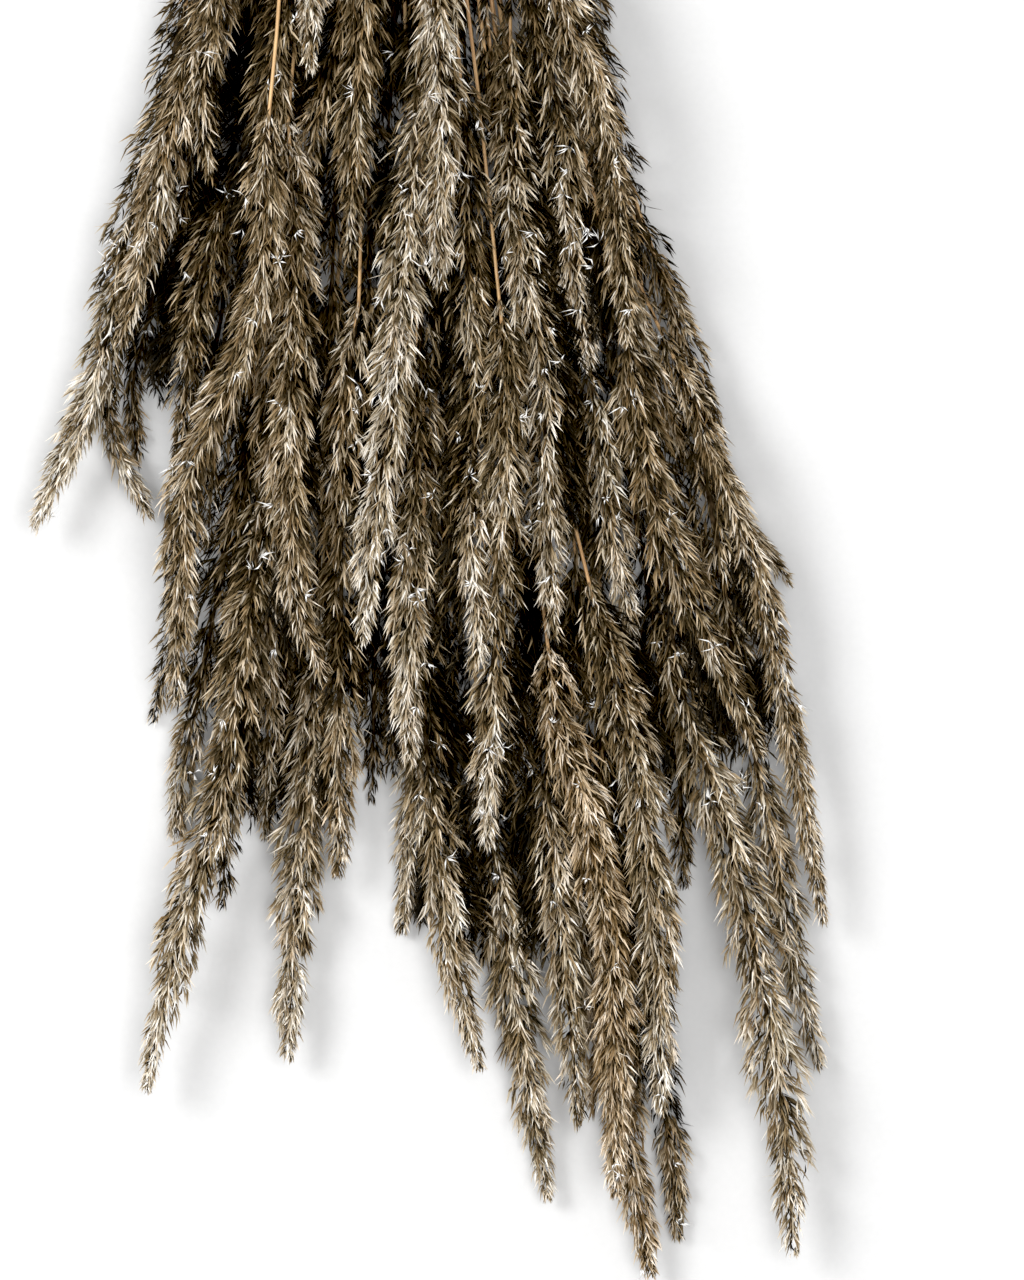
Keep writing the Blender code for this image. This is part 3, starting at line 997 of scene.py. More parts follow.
    def whorls(self) -> Branches:
        """Draws the branches of the head, which stand in whorls.

        Returns:
            The branches.
        """
        draw = self.draw
        levels = np.arange(self.start, self.tip - 5, self.whorl_space)
        levels = levels + draw.uniform(-self.whorl_jitter, self.whorl_jitter, len(levels))
        total = len(levels) * self.branches_each
        base = np.repeat(levels, self.branches_each)
        base = base + draw.uniform(-self.branch_jitter, self.branch_jitter, total)
        turn = np.repeat(draw.uniform(0, 2 * math.pi, len(levels)), self.branches_each)
        turn += 2 * math.pi / self.branches_each * np.tile(np.arange(self.branches_each), len(levels))
        turn += draw.normal(0, self.branch_turn, total)
        length = self.branch_length * draw.uniform(*self.length_change, total)
        length = np.minimum(length, np.maximum(self.tip - 1 - base, 3.0))
        reach = self.width(base + length) * draw.uniform(*self.branch_reach, total)
        bare = np.interp(base, self.path.distance, self.bareness)
        return Branches(base, turn, length, reach, self.brim(base + length / 2), bare)

    def choose(self, whorls: Branches) -> np.ndarray:
        """Draws the branch of each spikelet: more on long, wide, upturned and uncovered ones.

        Args:
            whorls: The branches.

        Returns:
            The number of each spikelet's branch.
        """
        crowd = whorls.length * (0.3 + self.width(whorls.base + whorls.length / 2) / self.radius)
        crowd *= self.fewest + (1 - self.fewest) * whorls.bare
        crowd *= 1 + self.upturned * np.sin(whorls.turn)
        total = int(self.spikelets * (self.fewest + (1 - self.fewest) * whorls.bare.mean()))
        return self.draw.choice(len(crowd), total, p=crowd / crowd.sum())

    def fillers(self) -> Branches:
        """Draws the long side branches that close the gaps beside the head, which are painted dark as the shade in
        the gaps.

        Returns:
            The branches.
        """
        draw = self.draw
        tips, aside = self.gaps.T + draw.normal(0, self.filler_jitter, (2, len(self.gaps)))
        length = draw.uniform(*self.filler_length, len(tips))
        turn = np.where(aside > 0, -self.filler_droop, math.pi + self.filler_droop)
        turn = turn + draw.normal(0, self.filler_turn, len(tips))
        reach = np.abs(aside)
        bare = np.full(len(tips), self.filler_bare)
        return Branches(tips - length, turn, length, reach, reach + self.filler_room, bare)

    def grow(self, branches: Branches, first: int, numbers: np.ndarray) -> Spikelets:
        """Draws the spikelets.

        Args:
            branches: The branches, the fillers after the others.
            first: The number of the first filler.
            numbers: The number of each spikelet's branch.

        Returns:
            The spikelets.
        """
        draw, total = self.draw, len(numbers)
        filler = np.arange(len(branches.base)) >= first
        branch_shade = (draw.normal(0, self.branch_shade, len(filler)) - self.filler_painted_shade * filler)[numbers]
        branch_hue = draw.normal(0, self.branch_hue, len(filler))[numbers]
        filling = filler[numbers]
        branch = branches.picked(numbers)

        t = draw.uniform(0.02, 1, total) ** 0.8
        hugging = (draw.random(total) < self.hugging) & ~filling
        t = np.where(hugging, draw.uniform(0, 0.12, total), t)
        where = branch.base + branch.length * t
        out = self.inmost + (branch.reach - self.inmost) * (1 - (1 - t) ** self.bend)
        slope = self.bend * (branch.reach - self.inmost) * (1 - t) ** (self.bend - 1) / branch.length
        direction, stray = self.aim(t, slope, hugging)

        narrow = self.width(where) / self.radius
        size = self.spikelet_length * draw.uniform(*self.size_change, total) * (0.6 + 0.4 * narrow)
        limit = np.where(filling, branch.limit, self.brim(where))
        room = (limit - out) / np.maximum(direction[:, 1], 0.05)
        size = np.clip(np.minimum(size, room), 3.0, None)
        ahead = (self.tip + 3 - where) * draw.uniform(0.5, 1, total)
        size = np.minimum(size, np.maximum(ahead, 2.5))
        radius = self.spikelet_radius * draw.uniform(*self.radius_change, total) * (0.7 + 0.3 * narrow)
        radius = np.where(stray, self.stray_radius, radius)
        bow = size * draw.uniform(*self.bow, total)
        curl = size * draw.normal(0, self.curl, total)

        outer = (out + size * direction[:, 1]) / limit
        shade = self.tone.value.shade + branch_shade + draw.normal(0, self.spikelet_shade, total)
        # Painted light and shade: lighter at the head's edge and darker deep inside, darker where other heads cover
        # it, lighter on top and darker underneath
        shade += self.painted_inner_shade * (outer - 0.75)
        shade += self.hugging_light * hugging - self.painted_cover_shade * (1 - branch.bare) ** 2
        shade = self.paled(shade + self.painted_top_light * np.sin(branch.turn), where)
        hue = self.tone.value.warmth + branch_hue + draw.normal(0, self.spikelet_hue, total)
        turn = np.where(hugging, draw.normal(1.57, 0.9, total), branch.turn)
        return Spikelets(where, out, turn, direction, size, radius, bow, curl, shade, hue)

    def aim(self, t: np.ndarray, slope: np.ndarray, hugging: np.ndarray) -> tuple[np.ndarray, np.ndarray]:
        """Draws where the spikelets point.

        Args:
            t: How far along its branch each one sits, 0 to 1.
            slope: How steeply its branch leads away from the axis there.
            hugging: Whether it lies close to the axis.

        Returns:
            Their directions, along the axis, outwards and sideways, and whether each is a stray hair.
        """
        draw, total = self.draw, len(t)
        spread = np.radians(draw.uniform(*self.spread, total) * (1.1 - 0.25 * t))
        stray = draw.random(total) < self.stray
        spread = np.where(stray, np.radians(draw.uniform(*self.stray_spread, total)), spread)
        spread = np.where(hugging, np.radians(draw.uniform(*self.hugging_spread, total)), spread)
        around = draw.normal(0, 1.1, total)
        outwards = slope + np.tan(spread) * np.cos(around)
        return unit(np.stack([np.ones(total), outwards, np.tan(spread) * np.sin(around)], axis=1)), stray

    def paled(self, shade: np.ndarray, where: np.ndarray) -> np.ndarray:
        """Makes shades darker where the head starts, as painted shade where it lies under other heads, and paler
        towards its tip.

        Args:
            shade: The shade of each spikelet.
            where: The distance of its root.

        Returns:
            The changed shades.
        """
        pale_tip = self.tone.value.pale_tip
        along = where - self.start
        shade = shade - self.start_painted_shade * pale_tip * (1 - smoothstep(along / self.start_run))
        share = along / (self.tip - self.start)
        return shade + pale_tip * smoothstep(share * self.pale_slope - self.pale_offset)

    def strew(self, harvest: Harvest, spikelets: Spikelets) -> None:
        """Places a copy of the spindle for each spikelet.

        Args:
            harvest: Where they go.
            spikelets: The spikelets.
        """
        direction = spikelets.direction
        outward = unit(np.array([0.0, 1.0, 0.0]) - direction * direction[:, 1:2])
        ways = (direction, outward, np.cross(direction, outward))
        root = np.stack([spikelets.where, spikelets.out, np.zeros(len(direction))], axis=1)
        local = self.spindle.copies(root, ways, spikelets.size, spikelets.radius, spikelets.bow, spikelets.curl)
        cos, sin = np.cos(spikelets.turn)[:, None], np.sin(spikelets.turn)[:, None]
        across = local[..., 1] * cos - local[..., 2] * sin
        over = local[..., 1] * sin + local[..., 2] * cos
        corners = settle(self.path.point(local[..., 0], across, over))

        band = np.clip((spikelets.shade * SHADES).astype(int), 0, SHADES - 1)
        row = np.clip((spikelets.hue * HUES).astype(int), 0, HUES - 1)
        places = np.empty((len(direction), len(self.spindle.places), 2))
        places[..., 0] = (band[:, None] + self.spindle.places[:, 0]) / SHADES
        places[..., 1] = (row[:, None] + self.spindle.places[:, 1]) / HUES
        harvest.add(self.spindle, corners, places, Surface.SPIKELETS)


@dataclass
class Culm:
    """The straw stem, hollow at its cut end, with slightly swollen joints, that runs on into the head."""

    path: Path
    start: float
    draw: np.random.Generator
    radius: float = 0.8
    sides: int = 8
    joint_swell: float = 0.28
    first_joint: tuple = (40, 150)  # between which distances from the cut end it is
    joint_space: float = 165.0
    joint_half: float = 1.3  # how far along the stem a joint swells
    collar: tuple = (-3.0, -1.2, 0.0, 1.2, 3.0)  # the rings round a joint
    ring_space: float = 22.0
    inside: float = 90.0  # how far it runs on into the head
    inside_space: float = 15.0  # the space between its rings there
    end_radius: float = 0.4

    def build(self, harvest: Harvest) -> None:
        """Adds the culm to a harvest.

        Args:
            harvest: Where it goes.
        """
        butt = self.path.distance[0]
        first = butt + self.draw.uniform(*self.first_joint)
        joints = np.arange(first, self.start - 25, self.joint_space)
        plain = np.arange(butt, self.start, self.ring_space)
        collars = (joints[:, None] + np.array(self.collar)).ravel()
        end = self.start + self.inside
        inside = np.arange(self.start, end, self.inside_space)
        rings = np.unique(np.concatenate([plain, collars, inside]))
        radii = np.interp(rings, (0, self.start, end), (self.radius, 0.85 * self.radius, self.end_radius))
        for joint in joints:
            radii *= 1 + self.joint_swell * np.exp(-(((rings - joint) / self.joint_half) ** 2))
        tube = unit_tube(self.sides, len(rings), hollow=0.5)
        corners = settle(self.path.sweep(tube, rings, radii), THIN)
        harvest.add(tube, corners, tube.places[None], Surface.CULM)


@dataclass
class SeedFluff:
    """Tufts of white silky hairs caught on a head."""

    spindle: Shell
    draw: np.random.Generator
    hairs: int = 5  # in one tuft
    hair_length: tuple = (2.2, 6.8)
    hair_radius: float = 0.22

    def build(self, harvest: Harvest, middles: np.ndarray) -> None:
        """Adds one tuft at each middle.

        Args:
            harvest: Where they go.
            middles: Their middles in mm, tufts by 3.
        """
        draw = self.draw
        total = len(middles) * self.hairs
        if not total:
            return
        root = np.repeat(middles, self.hairs, axis=0)
        lean = unit(draw.normal(0, 1, (len(middles), 3)) * (1, 1, 0.5) + (0, -0.5, 0.4))
        direction = unit(np.repeat(0.8 * lean, self.hairs, 0) + draw.normal(0, 0.7, (total, 3)) * (1, 1, 0.5))
        size = draw.uniform(*self.hair_length, total) * np.repeat(draw.uniform(0.5, 1.2, len(middles)), self.hairs)
        radius = self.hair_radius * draw.uniform(0.5, 1.8, total)
        bow = size * draw.normal(0, 0.12, total)
        corners = self.spindle.copies(root, ways_of(direction, (0.0, 0.3, 1.0)), size, radius, bow)
        places = np.broadcast_to(self.spindle.places, (total, *self.spindle.places.shape))
        harvest.add(self.spindle, settle(corners), places, Surface.FLUFF)


@dataclass
class Bunch:
    """All the stalks of the bunch. Its tables go by the stalks' numbers."""

    tones: dict = field(
        default_factory=lambda: {
            Tone.BLEACHED: (1, 18, 50),
            Tone.LIGHT: (2, 19, 20, 36, 38, 42, 45, 54, 55, 57),
            Tone.PALE_ENDED: (12, 21, 23, 30, 32, 39, 40, 41, 47, 48),
            Tone.SHADED: (3, 5, 7, 9, 10, 14, 15, 16, 17, 28, 29, 34, 44, 49, 56, 58, 59),
            Tone.STRAW: (35, 37),
        }
    )
    fluff_spots: tuple = (
        (-36, 305), (83, 292), (77, 346), (45, 355), (22, 476), (63, 454), (16, 528), (40, 528), (95, 456),
        (110, 489), (36, 548), (74, 552), (-77, 345), (-34, 357), (52, 386), (68, 395), (106, 557), (121, 544),
        (11, 462), (-52, 330), (20, 300), (60, 320), (-10, 400), (-90, 350), (30, 420), (88, 400),
    )
    spot_spread: float = 7.0  # how far from its spot a tuft may be
    stray_fluff: int = 95
    # How much before its CAD core a head starts, in mm, where that is not the usual
    early: dict = field(
        default_factory=lambda: {18: 36.0, 20: 36.0, 23: 25.0, 26: 45.0, 34: 46.0, 47: 32.0, 54: 64.0, 55: 60.0}
    )
    usual_early: float = 4.0
    # Heads that lie open to view although others seem to cover them
    bared: tuple = (27, 37, 42, 45, 51, 52, 53)
    # From where and how far a head is raised, in mm
    lift: dict = field(default_factory=lambda: {23: (420.0, 17.0)})
    # Points of the heads' axes as they are seen from above: how far to the side, and the distance from the tie
    seen: dict = field(
        default_factory=lambda: {
            1: ((-72, 262), (-80, 300), (-92, 340), (-98, 370), (-104, 400), (-112, 418), (-127, 450)),
            2: ((-80, 320), (-90, 360), (-102, 400), (-98, 422), (-84, 447)),
            3: ((-85, 370), (-93, 400), (-89, 428)),
            4: ((-63, 262), (-74, 298), (-80, 320), (-86, 350), (-95, 385)),
            5: ((-60, 262), (-66, 300), (-62, 325)),
            8: ((-41, 305), (-43, 365), (-50, 385), (-58, 404), (-65, 418), (-72, 440), (-73, 480), (-75, 512)),
            10: ((-46, 350), (-52, 390), (-62, 430), (-64, 456)),
            13: ((-14, 262), (-20, 290), (-26, 310), (-28, 335)),
            17: ((-7, 312), (-5, 350), (-7, 400), (-8, 440)),
            18: ((17, 262), (14, 290), (6, 360), (3, 410), (-3, 445), (-8, 492)),
            21: ((56, 275), (64, 300), (67, 350), (74, 393)),
            22: ((30, 330), (33, 350), (36, 395), (46, 432)),
            23: ((30, 360), (33, 400), (31, 460), (35, 500)),
            24: ((64, 262), (76, 295), (81, 315), (87, 340)),
            25: ((74, 265), (82, 305), (90, 340), (103, 368), (114, 398), (121, 420)),
            26: (
                (92, 362), (98, 379), (106, 393), (113, 409), (118, 424), (128, 448), (136, 474), (145, 520),
                (158, 592),
            ),
            27: ((85, 360), (95, 400), (101, 410), (113, 430), (124, 444), (137, 457), (148, 471)),
            28: ((74, 280), (80, 310), (85, 350), (87, 385)),
            29: ((88, 390), (96, 440), (112, 480), (128, 515), (136, 532)),
            30: ((76, 408), (78, 430), (86, 475), (90, 497)),
            31: ((84, 370), (91, 400), (102, 430), (111, 453), (119, 470), (124, 484), (136, 515)),
            33: ((84, 560), (92, 610), (101, 655), (104, 680), (106, 707)),
            35: ((57, 480), (62, 520), (72, 550), (82, 600), (83, 690)),
            36: ((58, 500), (59, 550), (65, 610), (70, 665)),
            41: ((12, 490), (17, 555), (23, 600), (34, 645)),
            43: ((-3, 440), (-4, 500), (-5, 549)),
            47: ((-42, 430), (-50, 490), (-57, 540), (-75, 600), (-86, 652)),
            48: ((-51, 418), (-62, 480), (-73, 535), (-76, 565)),
            50: ((-66, 400), (-71, 440), (-75, 478), (-80, 505), (-85, 520)),
            51: ((-40, 440), (-42, 490), (-42, 513)),
            52: ((-33, 440), (-31, 480), (-20, 505)),
            54: (
                (94, 405), (99, 440), (104, 500), (114, 531), (123, 558), (129, 582), (139, 632), (145, 672),
                (147, 712),
            ),
            55: ((110, 400), (119, 450), (126, 500), (131, 520), (137, 550), (150, 620), (158, 645)),
            57: ((36, 540), (46, 610), (51, 650), (59, 692)),
        }
    )
    # How far a head covers others, to the side and down, and how strongly; and how far and how strongly it darkens
    # those that lie deeper down. Covered and sunken heads have fewer spikelets and are painted in shade
    cover: tuple = (15.0, 8.0, 1.4)
    depth_shade: tuple = (30.0, 25.0, 0.65)
    most_drift: float = 12.0
    drift_ease: int = 12
    # How wide a head is, against the usual
    fullness: dict = field(
        default_factory=lambda: {
            2: 0.8, 3: 0.8, 8: 0.88, 25: 0.8, 26: 0.6, 27: 0.65, 31: 0.75, 33: 0.95, 36: 1.12, 37: 1.2, 38: 1.1,
            41: 1.05, 42: 0.82, 45: 1.08, 47: 1.08, 54: 1.22, 57: 1.05,
        }
    )
    # How far along the bunch its gaps are closed, at places from left to right
    closed_to: tuple = (
        (-150, 402), (-61, 402), (-60, 555), (-22, 555), (-21, 535), (8, 535), (9, 605), (62, 605), (63, 560),
        (150, 520),
    )
    gap_run: tuple = (258.0, 606.0)  # between which distances gaps are looked for
    gap_step: float = 3.5
    gap_width: tuple = (12, 36)  # which distances from axis to axis count as gaps
    gap_shares: tuple = (0.35, 0.6)  # how far across the gap the side branches reach
    head_radius: float = 9.3  # how high above a head's axis a tuft lies
    spindle: Shell = field(default_factory=unit_spindle)

    def names(self) -> list:
        """The CAD nodes of the stalks."""
        return sorted(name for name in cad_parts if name.startswith("stalk_"))

    def build(self) -> None:
        """Builds and dresses every stalk."""
        finishes = (SpikeletFinish(), CoreFinish(), StrawFinish(), FluffFinish())
        materials = [finish.material() for finish in finishes]  # numbered as in Surface
        paths = {}
        for number, name in enumerate(self.names(), 1):
            path, start = node_path(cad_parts[name])
            paths[name] = (self.drift(number, path), start - self.early.get(number, self.usual_early))
        bareness = self.bareness(paths)
        gaps = self.gaps(paths)
        fluff = self.fluff_places(paths)
        for number, name in enumerate(self.names(), 1):
            path, start = paths[name]
            draw = np.random.default_rng(SEED * 1000 + number)
            tone = next((kind for kind, members in self.tones.items() if number in members), Tone.USUAL)
            tip = float(path.distance[-1])
            bare = np.maximum(bareness[name], 0.85) if number in self.bared else bareness[name]
            aside = np.array(gaps[name]).reshape(-1, 2)
            full = self.fullness.get(number, 1.0)
            harvest = Harvest()
            FlowerHead(path, start, tip, bare, aside, tone, draw, self.spindle, full).build(harvest)
            Culm(path, start, draw).build(harvest)
            SeedFluff(self.spindle, draw).build(harvest, np.array(fluff[name]).reshape(-1, 3))
            piece = harvest.piece(name.replace("stalk", "reed"), materials)
            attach(piece, "root")
            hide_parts(name)
            LOG.info("%s: %d faces", piece.name, len(piece.data.polygons))

    def drift(self, number: int, path: Path) -> Path:
        """Moves a stalk sideways to where it is seen, since real heads mesh where the solids stand clear.

        Args:
            number: The stalk's number.
            path: Its path, from its CAD node.

        Returns:
            The moved path.
        """
        first, rise = self.lift.get(number, (0.0, 0.0))
        up = rise * smoothstep((path.distance - first) / 40)
        path = Path(path.distance, path.centre + up[:, None] * (0.0, 0.0, 1.0))
        if number not in self.seen:
            return path
        x, where = np.array(self.seen[number], dtype=float).T
        inside = np.clip(path.distance, where[0], where[-1])
        aside = np.interp(inside, where, x) - np.interp(inside, path.distance, path.centre[:, 0])
        aside = np.clip(aside, -self.most_drift, self.most_drift) * smoothstep((path.distance - where[0] + 80) / 80)
        window = 2 * self.drift_ease + 1
        aside = np.convolve(np.pad(aside, self.drift_ease, "edge"), np.full(window, 1 / window), "valid")
        return Path(path.distance, path.centre + aside[:, None] * (1.0, 0.0, 0.0))

    def bareness(self, paths: dict) -> dict:
        """Works out how little each head is covered by others or lies sunk below them, where 1 is not at all. It
        thins out their spikelets and paints them in shade.

        Args:
            paths: Each stalk's path and head start, by node name.

        Returns:
            The bareness at each point of each path, by node name.
        """
        found = {}
        near, thick, covering = self.cover
        far, deep, shading = self.depth_shade
        for name, (path, _) in paths.items():
            cover = np.zeros(len(path.distance))
            sunk = np.zeros(len(path.distance))
            for other, (over, start) in paths.items():
                if other == name:
                    continue
                middle = over.read(over.centre, path.distance)
                here = (path.distance > start) & (path.distance < over.distance[-1])
                aside = np.abs(middle[:, 0] - path.centre[:, 0])
                higher = middle[:, 2] - path.centre[:, 2]
                cover += here * np.clip(1 - aside / near, 0, 1) * np.clip(higher / thick, 0, 1)
                sunk = np.maximum(sunk, here * np.clip(1.2 - aside / far, 0, 1) * np.clip(higher / deep, 0, 1))
            found[name] = np.exp(-covering * cover - shading * sunk)
        return found

    def gaps(self, paths: dict) -> dict:
        """Finds the gaps inside the bunch, which side branches of the heads beside them close.

        Args:
            paths: Each stalk's path and head start, by node name.

        Returns:
            For each side branch its tip's distance and how far to the side it reaches, in mm, by node name.
        """
        found = {name: [] for name in paths}
        narrowest, widest = self.gap_width
        for where in np.arange(*self.gap_run, self.gap_step):
            row = []
            for name, (path, start) in paths.items():
                if start < where < path.distance[-1] - 6:
                    row.append((path.read(path.centre, np.array([where]))[0, 0], name))
            row.sort()
            for (left, first), (right, second) in zip(row, row[1:]):
                space = right - left
                open_here = where < np.interp((left + right) / 2, *zip(*self.closed_to))
                if narrowest < space < widest and open_here:
                    for share in self.gap_shares:
                        found[first].append((where, share * space))
                        found[second].append((where, -share * space))
        return found

    def fluff_places(self, paths: dict) -> dict:
        """Finds, for each tuft, the stalk that lies on top where it is.

        Args:
            paths: Each stalk's path and head start, by node name.

        Returns:
            The tufts' middles in mm, by node name.
        """
        draw = np.random.default_rng(SEED)
        spots = [(x + dx, d + dd) for x, d in self.fluff_spots for dx, dd in draw.normal(0, self.spot_spread, (3, 2))]
        names = list(paths)
        for _ in range(self.stray_fluff):
            path, start = paths[names[draw.integers(len(names))]]
            where = draw.uniform(start + 20, path.distance[-1])
            spots.append((path.read(path.centre, np.array([where]))[0, 0] + draw.normal(0, 5), where))
        found = {name: [] for name in paths}
        for x, where in spots:
            tops = []
            for name, (path, start) in paths.items():
                if not start + 10 < where < path.distance[-1] - 3:
                    continue
                middle = path.read(path.centre, np.array([where]))[0]
                aside = x - middle[0]
                if abs(aside) < 7:
                    tops.append((middle[2] + math.sqrt(self.head_radius**2 - aside**2), name))
            if tops:
                height, name = max(tops)
                found[name].append((x, -where, height))
        return found


@dataclass
class TwineTie:
    """Plied twine wound round the stems, knotted on top, with two frayed ends."""

    spindle: Shell = field(default_factory=unit_spindle)
    diameter: float = 2.6
    turns: int = 4
    plies: int = 3
    ply_turn: float = 8.5  # the length in which a ply winds once round
    ply_offset: float = 0.27  # how far a ply's middle is from the twine's, as a share of the twine's diameter
    ply_radius: float = 0.265  # as a share of it too
    step: float = 1.1  # the space between its rings
    knot_scale: float = 1.5
    knot_angle: float = 62.0  # where it is round the bunch, in degrees from +X
    knot_sink: float = 0.9  # how deep it is pulled into the turns
    end_length: float = 16.0
    fibres: int = 170  # on the turns
    fray: int = 34  # fibres at each end
    fibre_radius: float = 0.09
    outer: float = field(init=False)  # how far the turns reach from their middle, in mm
    height: float = field(init=False)  # how high their middle is, in mm

    def __post_init__(self) -> None:
        """Reads from the CAD node where the turns go."""
        band = [vert.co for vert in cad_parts["twine_tie"].data.vertices if abs(vert.co.y) < 0.004]
        left = min(co.x for co in band) / MM
        right = max(co.x for co in band) / MM
        self.outer = (right - left) / 2
        self.height = max(co.z for co in band if abs(co.x) < 0.002) / MM - self.outer

    def build(self) -> None:
        """Builds and dresses the tie."""
        draw = np.random.default_rng(SEED + 5)
        harvest = Harvest()
        coil = self.coil()
        knot = self.knot()
        for points, closed in ((coil, False), (knot, True), (self.loose_end(-1), False), (self.loose_end(1), False)):
            self.add_twine(harvest, points, closed)
        self.add_fibres(harvest, coil, draw)
        self.add_fray(harvest, self.loose_end(-1), draw)
        self.add_fray(harvest, self.loose_end(1), draw)
        material = TwineFinish().material()
        piece = harvest.piece("tie_of_twine", [material, material])
        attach(piece, "root")
        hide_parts("twine_tie")
        LOG.info("%s: %d faces", piece.name, len(piece.data.polygons))

    def around(self, angle: np.ndarray, along: np.ndarray, out: np.ndarray) -> np.ndarray:
        """Finds points round the bunch.

        Args:
            angle: Their angles from +X.
            along: Their places along the stems, in mm.
            out: Their distances from the middle of the stems, in mm.

        Returns:
            The points, in mm.
        """
        shape = np.broadcast(angle, along, out).shape
        parts = (out * np.cos(angle), along, self.height + out * np.sin(angle))
        return np.stack([np.broadcast_to(part, shape) for part in parts], axis=-1)

    def coil(self) -> np.ndarray:
        """Draws the middle line of the wound turns.

        Returns:
            Its points, in mm.
        """
        lane = self.outer - self.diameter / 2
        total = 2 * math.pi * self.turns
        angle = np.linspace(0, total, int(total * lane / self.step)) + math.radians(self.knot_angle)
        share = np.linspace(-0.5, 0.5, len(angle))
        return self.around(angle, share * self.diameter * (self.turns - 1), np.full(len(angle), lane))

    def on_tie(self, across: np.ndarray, along: np.ndarray, out: np.ndarray) -> np.ndarray:
        """Points by the knot: across the turns' run, along the stems, and out from the bunch's middle, in mm."""
        return self.around(math.radians(self.knot_angle) - across / out, along, out)

    def knot(self) -> np.ndarray:
        """Draws the middle line of a three-lobed knot that lies on the turns.

        Returns:
            Its points, in mm.
        """
        t = np.linspace(0, 2 * math.pi, 60, endpoint=False)
        middle = self.outer + self.knot_scale + self.diameter / 2 - self.knot_sink
        across = self.knot_scale * (np.sin(t) + 2 * np.sin(2 * t))
        along = self.knot_scale * (np.cos(t) - 2 * np.cos(2 * t))
        return self.on_tie(across, along, middle - self.knot_scale * np.sin(3 * t))

    def loose_end(self, side: int) -> np.ndarray:
        """Draws the middle line of a cut end, which leaves the knot and lies along the stems.

        Args:
            side: -1 towards the heads, 1 towards the cut ends.

        Returns:
            Its points, in mm.
        """
        run = np.linspace(0, 1, 20)
        high = self.outer + self.knot_scale
        low = self.outer - self.diameter * 0.4
        out = high + (low - high) * smoothstep(run * 1.25 - 0.1)
        return self.on_tie(2.0 + 2.5 * run, side * self.end_length * run, out)

    def add_twine(self, harvest: Harvest, points: np.ndarray, closed: bool) -> None:
        """Adds a length of plied twine.

        Args:
            harvest: Where it goes.
            points: Its middle line, in mm.
            closed: Whether its ends meet.
        """
        if closed:
            points = np.concatenate([points, points[:2]])
        run = np.concatenate([[0], np.cumsum(np.linalg.norm(np.diff(points, axis=0), axis=1))])
        path = Path(run, points)
        rings = np.linspace(0, run[-1], max(6, int(run[-1] / self.step)))
        tube = unit_tube(6, len(rings))
        off = self.ply_offset * self.diameter
        for ply in range(self.plies):
            turn = 2 * math.pi * (rings / self.ply_turn + ply / self.plies)
            line = path.point(rings, off * np.cos(turn), off * np.sin(turn))
            strand = Path(rings, line)
            corners = strand.sweep(tube, rings, np.full(len(rings), self.ply_radius * self.diameter))
            harvest.add(tube, settle(corners, THIN), tube.places[None], Surface.PLIES)

    def add_hairs(self, harvest: Harvest, root: np.ndarray, direction: np.ndarray, size: np.ndarray) -> None:
        """Adds fine fibres.

        Args:
            harvest: Where they go.
            root: Their roots, in mm.
            direction: Where they point.
            size: Their lengths, in mm.
        """
        ways = ways_of(unit(direction), (0.2, 0.1, 1.0))
        corners = self.spindle.copies(root, ways, size, np.full(len(size), self.fibre_radius))
        # Each fibre has a small patch of the map to itself, so that its colour is even
        places = self.spindle.places * (0.05, 0.02) + np.linspace(0, 0.9, len(root))[:, None, None]
        harvest.add(self.spindle, settle(corners, THIN), places, Surface.FIBRES)

    def add_fibres(self, harvest: Harvest, points: np.ndarray, draw: np.random.Generator) -> None:
        """Adds the fibres that stand out from the turns.

        Args:
            harvest: Where they go.
            points: The middle line of the turns, in mm.
            draw: The source of the random draws.
        """
        k = draw.integers(2, len(points) - 2, self.fibres)
        run = unit(points[k + 1] - points[k - 1])
        out = unit(points[k] - np.array([0, 0, self.height]) * (1, 0, 1))
        root = points[k] + out * self.diameter * 0.42
        direction = run * draw.choice((-1, 1), (self.fibres, 1)) + out * draw.uniform(0.1, 0.8, (self.fibres, 1))
        direction += draw.normal(0, 0.25, direction.shape)
        self.add_hairs(harvest, root, direction, draw.uniform(1.5, 4.0, self.fibres))

    def add_fray(self, harvest: Harvest, points: np.ndarray, draw: np.random.Generator) -> None:
        """Adds the frayed brush at a cut end.

        Args:
            harvest: Where it goes.
            points: The middle line of the cut end, in mm.
            draw: The source of the random draws.
        """
        root = points[-1] + draw.normal(0, 0.55, (self.fray, 3))
        direction = unit(points[-1] - points[-3]) + draw.normal(0, 0.28, (self.fray, 3))
        self.add_hairs(harvest, root, direction, draw.uniform(2.5, 6.0, self.fray))


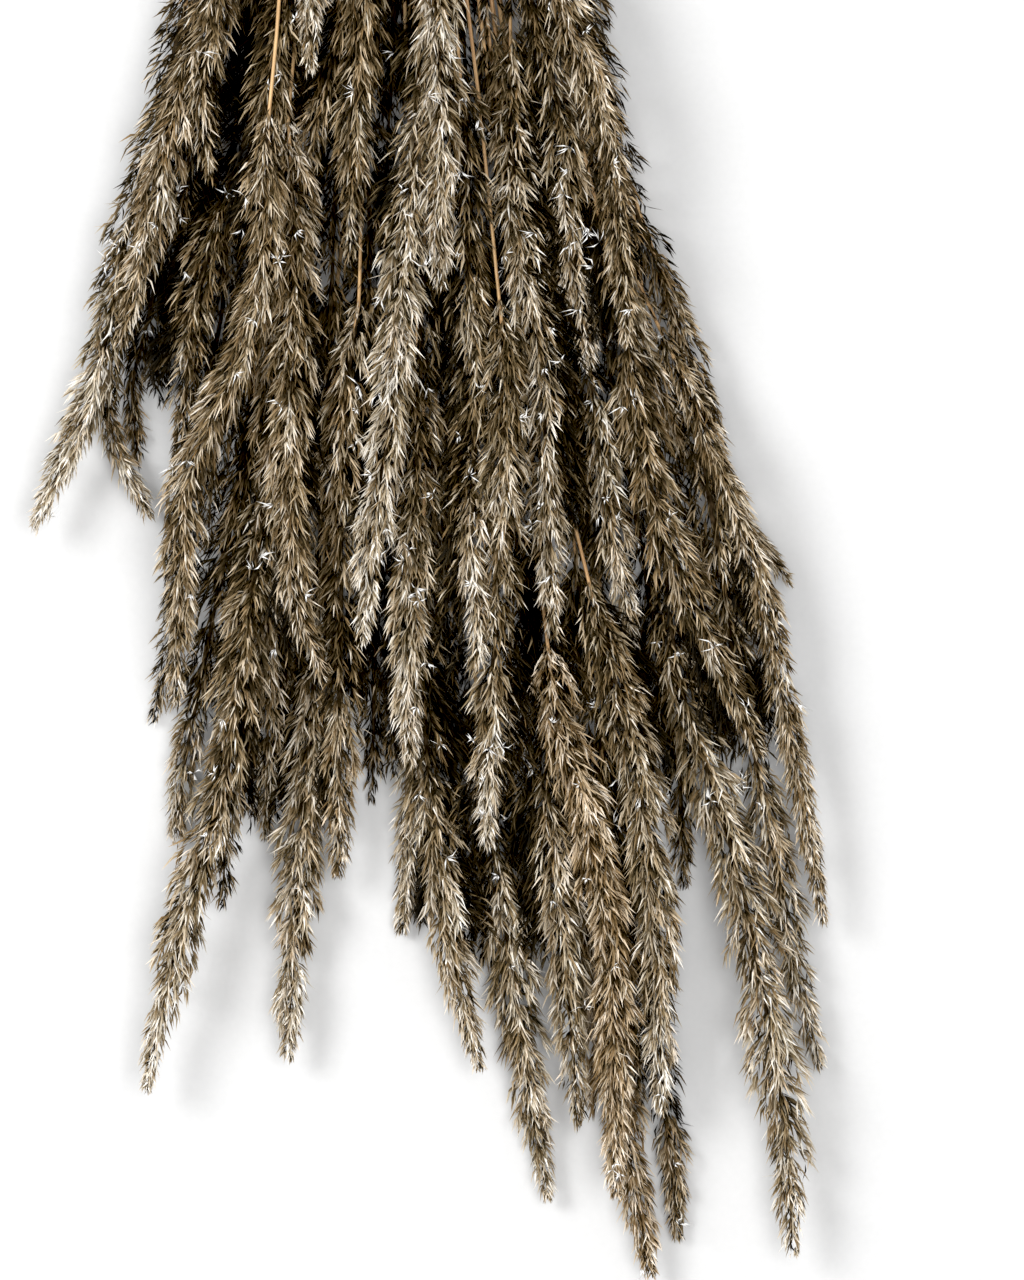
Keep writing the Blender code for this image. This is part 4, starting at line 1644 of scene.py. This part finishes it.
@dataclass
class Studio:
    """The pale floor, the soft lights and the camera, which looks straight down."""

    centre: tuple = (45.7, -490.4)
    framed_height: float = 460.8
    framed_level: float = 20.0  # how far above the floor the framed height is measured
    floor_half: float = 4.0
    floor_gap: float = 0.0002
    lens: float = 200.0
    sensor: float = 36.0
    black: float = 0.010  # the level that is shown as black
    gamma: float = 0.9
    daylight: float = 0.5
    # The lights: where they hang from the middle of the view, their width and their power
    window: tuple = ((-1.5, 0.7, 2.0), 1.2, 48.0)
    ceiling: tuple = ((0.5, -0.1, 3.2), 2.0, 82.0)

    def build(self) -> None:
        """Sets the studio up."""
        self.floor()
        self.area_light("window", *self.window)
        self.area_light("ceiling", *self.ceiling)
        self.sky()
        self.camera()

    def floor(self) -> None:
        """Lays the floor."""
        mesh = bmesh.new()
        bmesh.ops.create_grid(mesh, x_segments=1, y_segments=1, size=self.floor_half)
        data = bpy.data.meshes.new("floor")
        mesh.to_mesh(data)
        mesh.free()
        data.materials.append(FloorFinish().material())
        floor = bpy.data.objects.new("floor", data)
        floor.location.z = -self.floor_gap
        bpy.context.scene.collection.objects.link(floor)

    def area_light(self, name: str, place: tuple, size: float, power: float) -> None:
        """Hangs a soft light that points at the heads.

        Args:
            name: Its name.
            place: Where it hangs, from the middle of the view, in metres.
            size: Its width in metres.
            power: Its power in watts.
        """
        lamp = bpy.data.lights.new(name, "AREA")
        lamp.shape = "DISK"
        lamp.size = size
        lamp.energy = power
        light = bpy.data.objects.new(name, lamp)
        aim = Vector((self.centre[0] * MM, self.centre[1] * MM, 0))
        light.location = aim + Vector(place)
        light.rotation_euler = (aim - light.location).to_track_quat("-Z", "Y").to_euler()
        bpy.context.scene.collection.objects.link(light)

    def sky(self) -> None:
        """Lights the scene evenly from all sides."""
        world = bpy.data.worlds.new("sky")
        world.use_nodes = True
        background = world.node_tree.nodes["Background"]
        background.inputs["Color"].default_value = (1.0, 1.0, 1.0, 1.0)
        background.inputs["Strength"].default_value = self.daylight
        bpy.context.scene.world = world
        view = bpy.context.scene.view_settings
        view.view_transform = "Standard"
        view.gamma = self.gamma
        view.use_curve_mapping = True
        view.curve_mapping.black_level = (self.black, self.black, self.black)
        view.curve_mapping.update()

    def camera(self) -> None:
        """Sets the camera up at the photograph's viewing angle."""
        data = bpy.data.cameras.new("camera")
        data.lens = self.lens
        data.sensor_width = self.sensor
        data.clip_end = 100.0
        camera = bpy.data.objects.new("camera", data)
        far = self.framed_height * self.lens / self.sensor + self.framed_level
        camera.location = (self.centre[0] * MM, self.centre[1] * MM, far * MM)
        bpy.context.scene.collection.objects.link(camera)
        bpy.context.scene.camera = camera


def main() -> None:
    """Builds the bunch, its tie and the studio."""
    logging.basicConfig(level=logging.INFO, format="%(message)s")
    Bunch().build()
    TwineTie().build()
    Studio().build()
    meshes = [item.data for item in bpy.data.objects if item.type == "MESH"]
    LOG.info("triangles in all: %d", sum(len(data.loops) - 2 * len(data.polygons) for data in meshes))


if __name__ == "__main__":
    main()
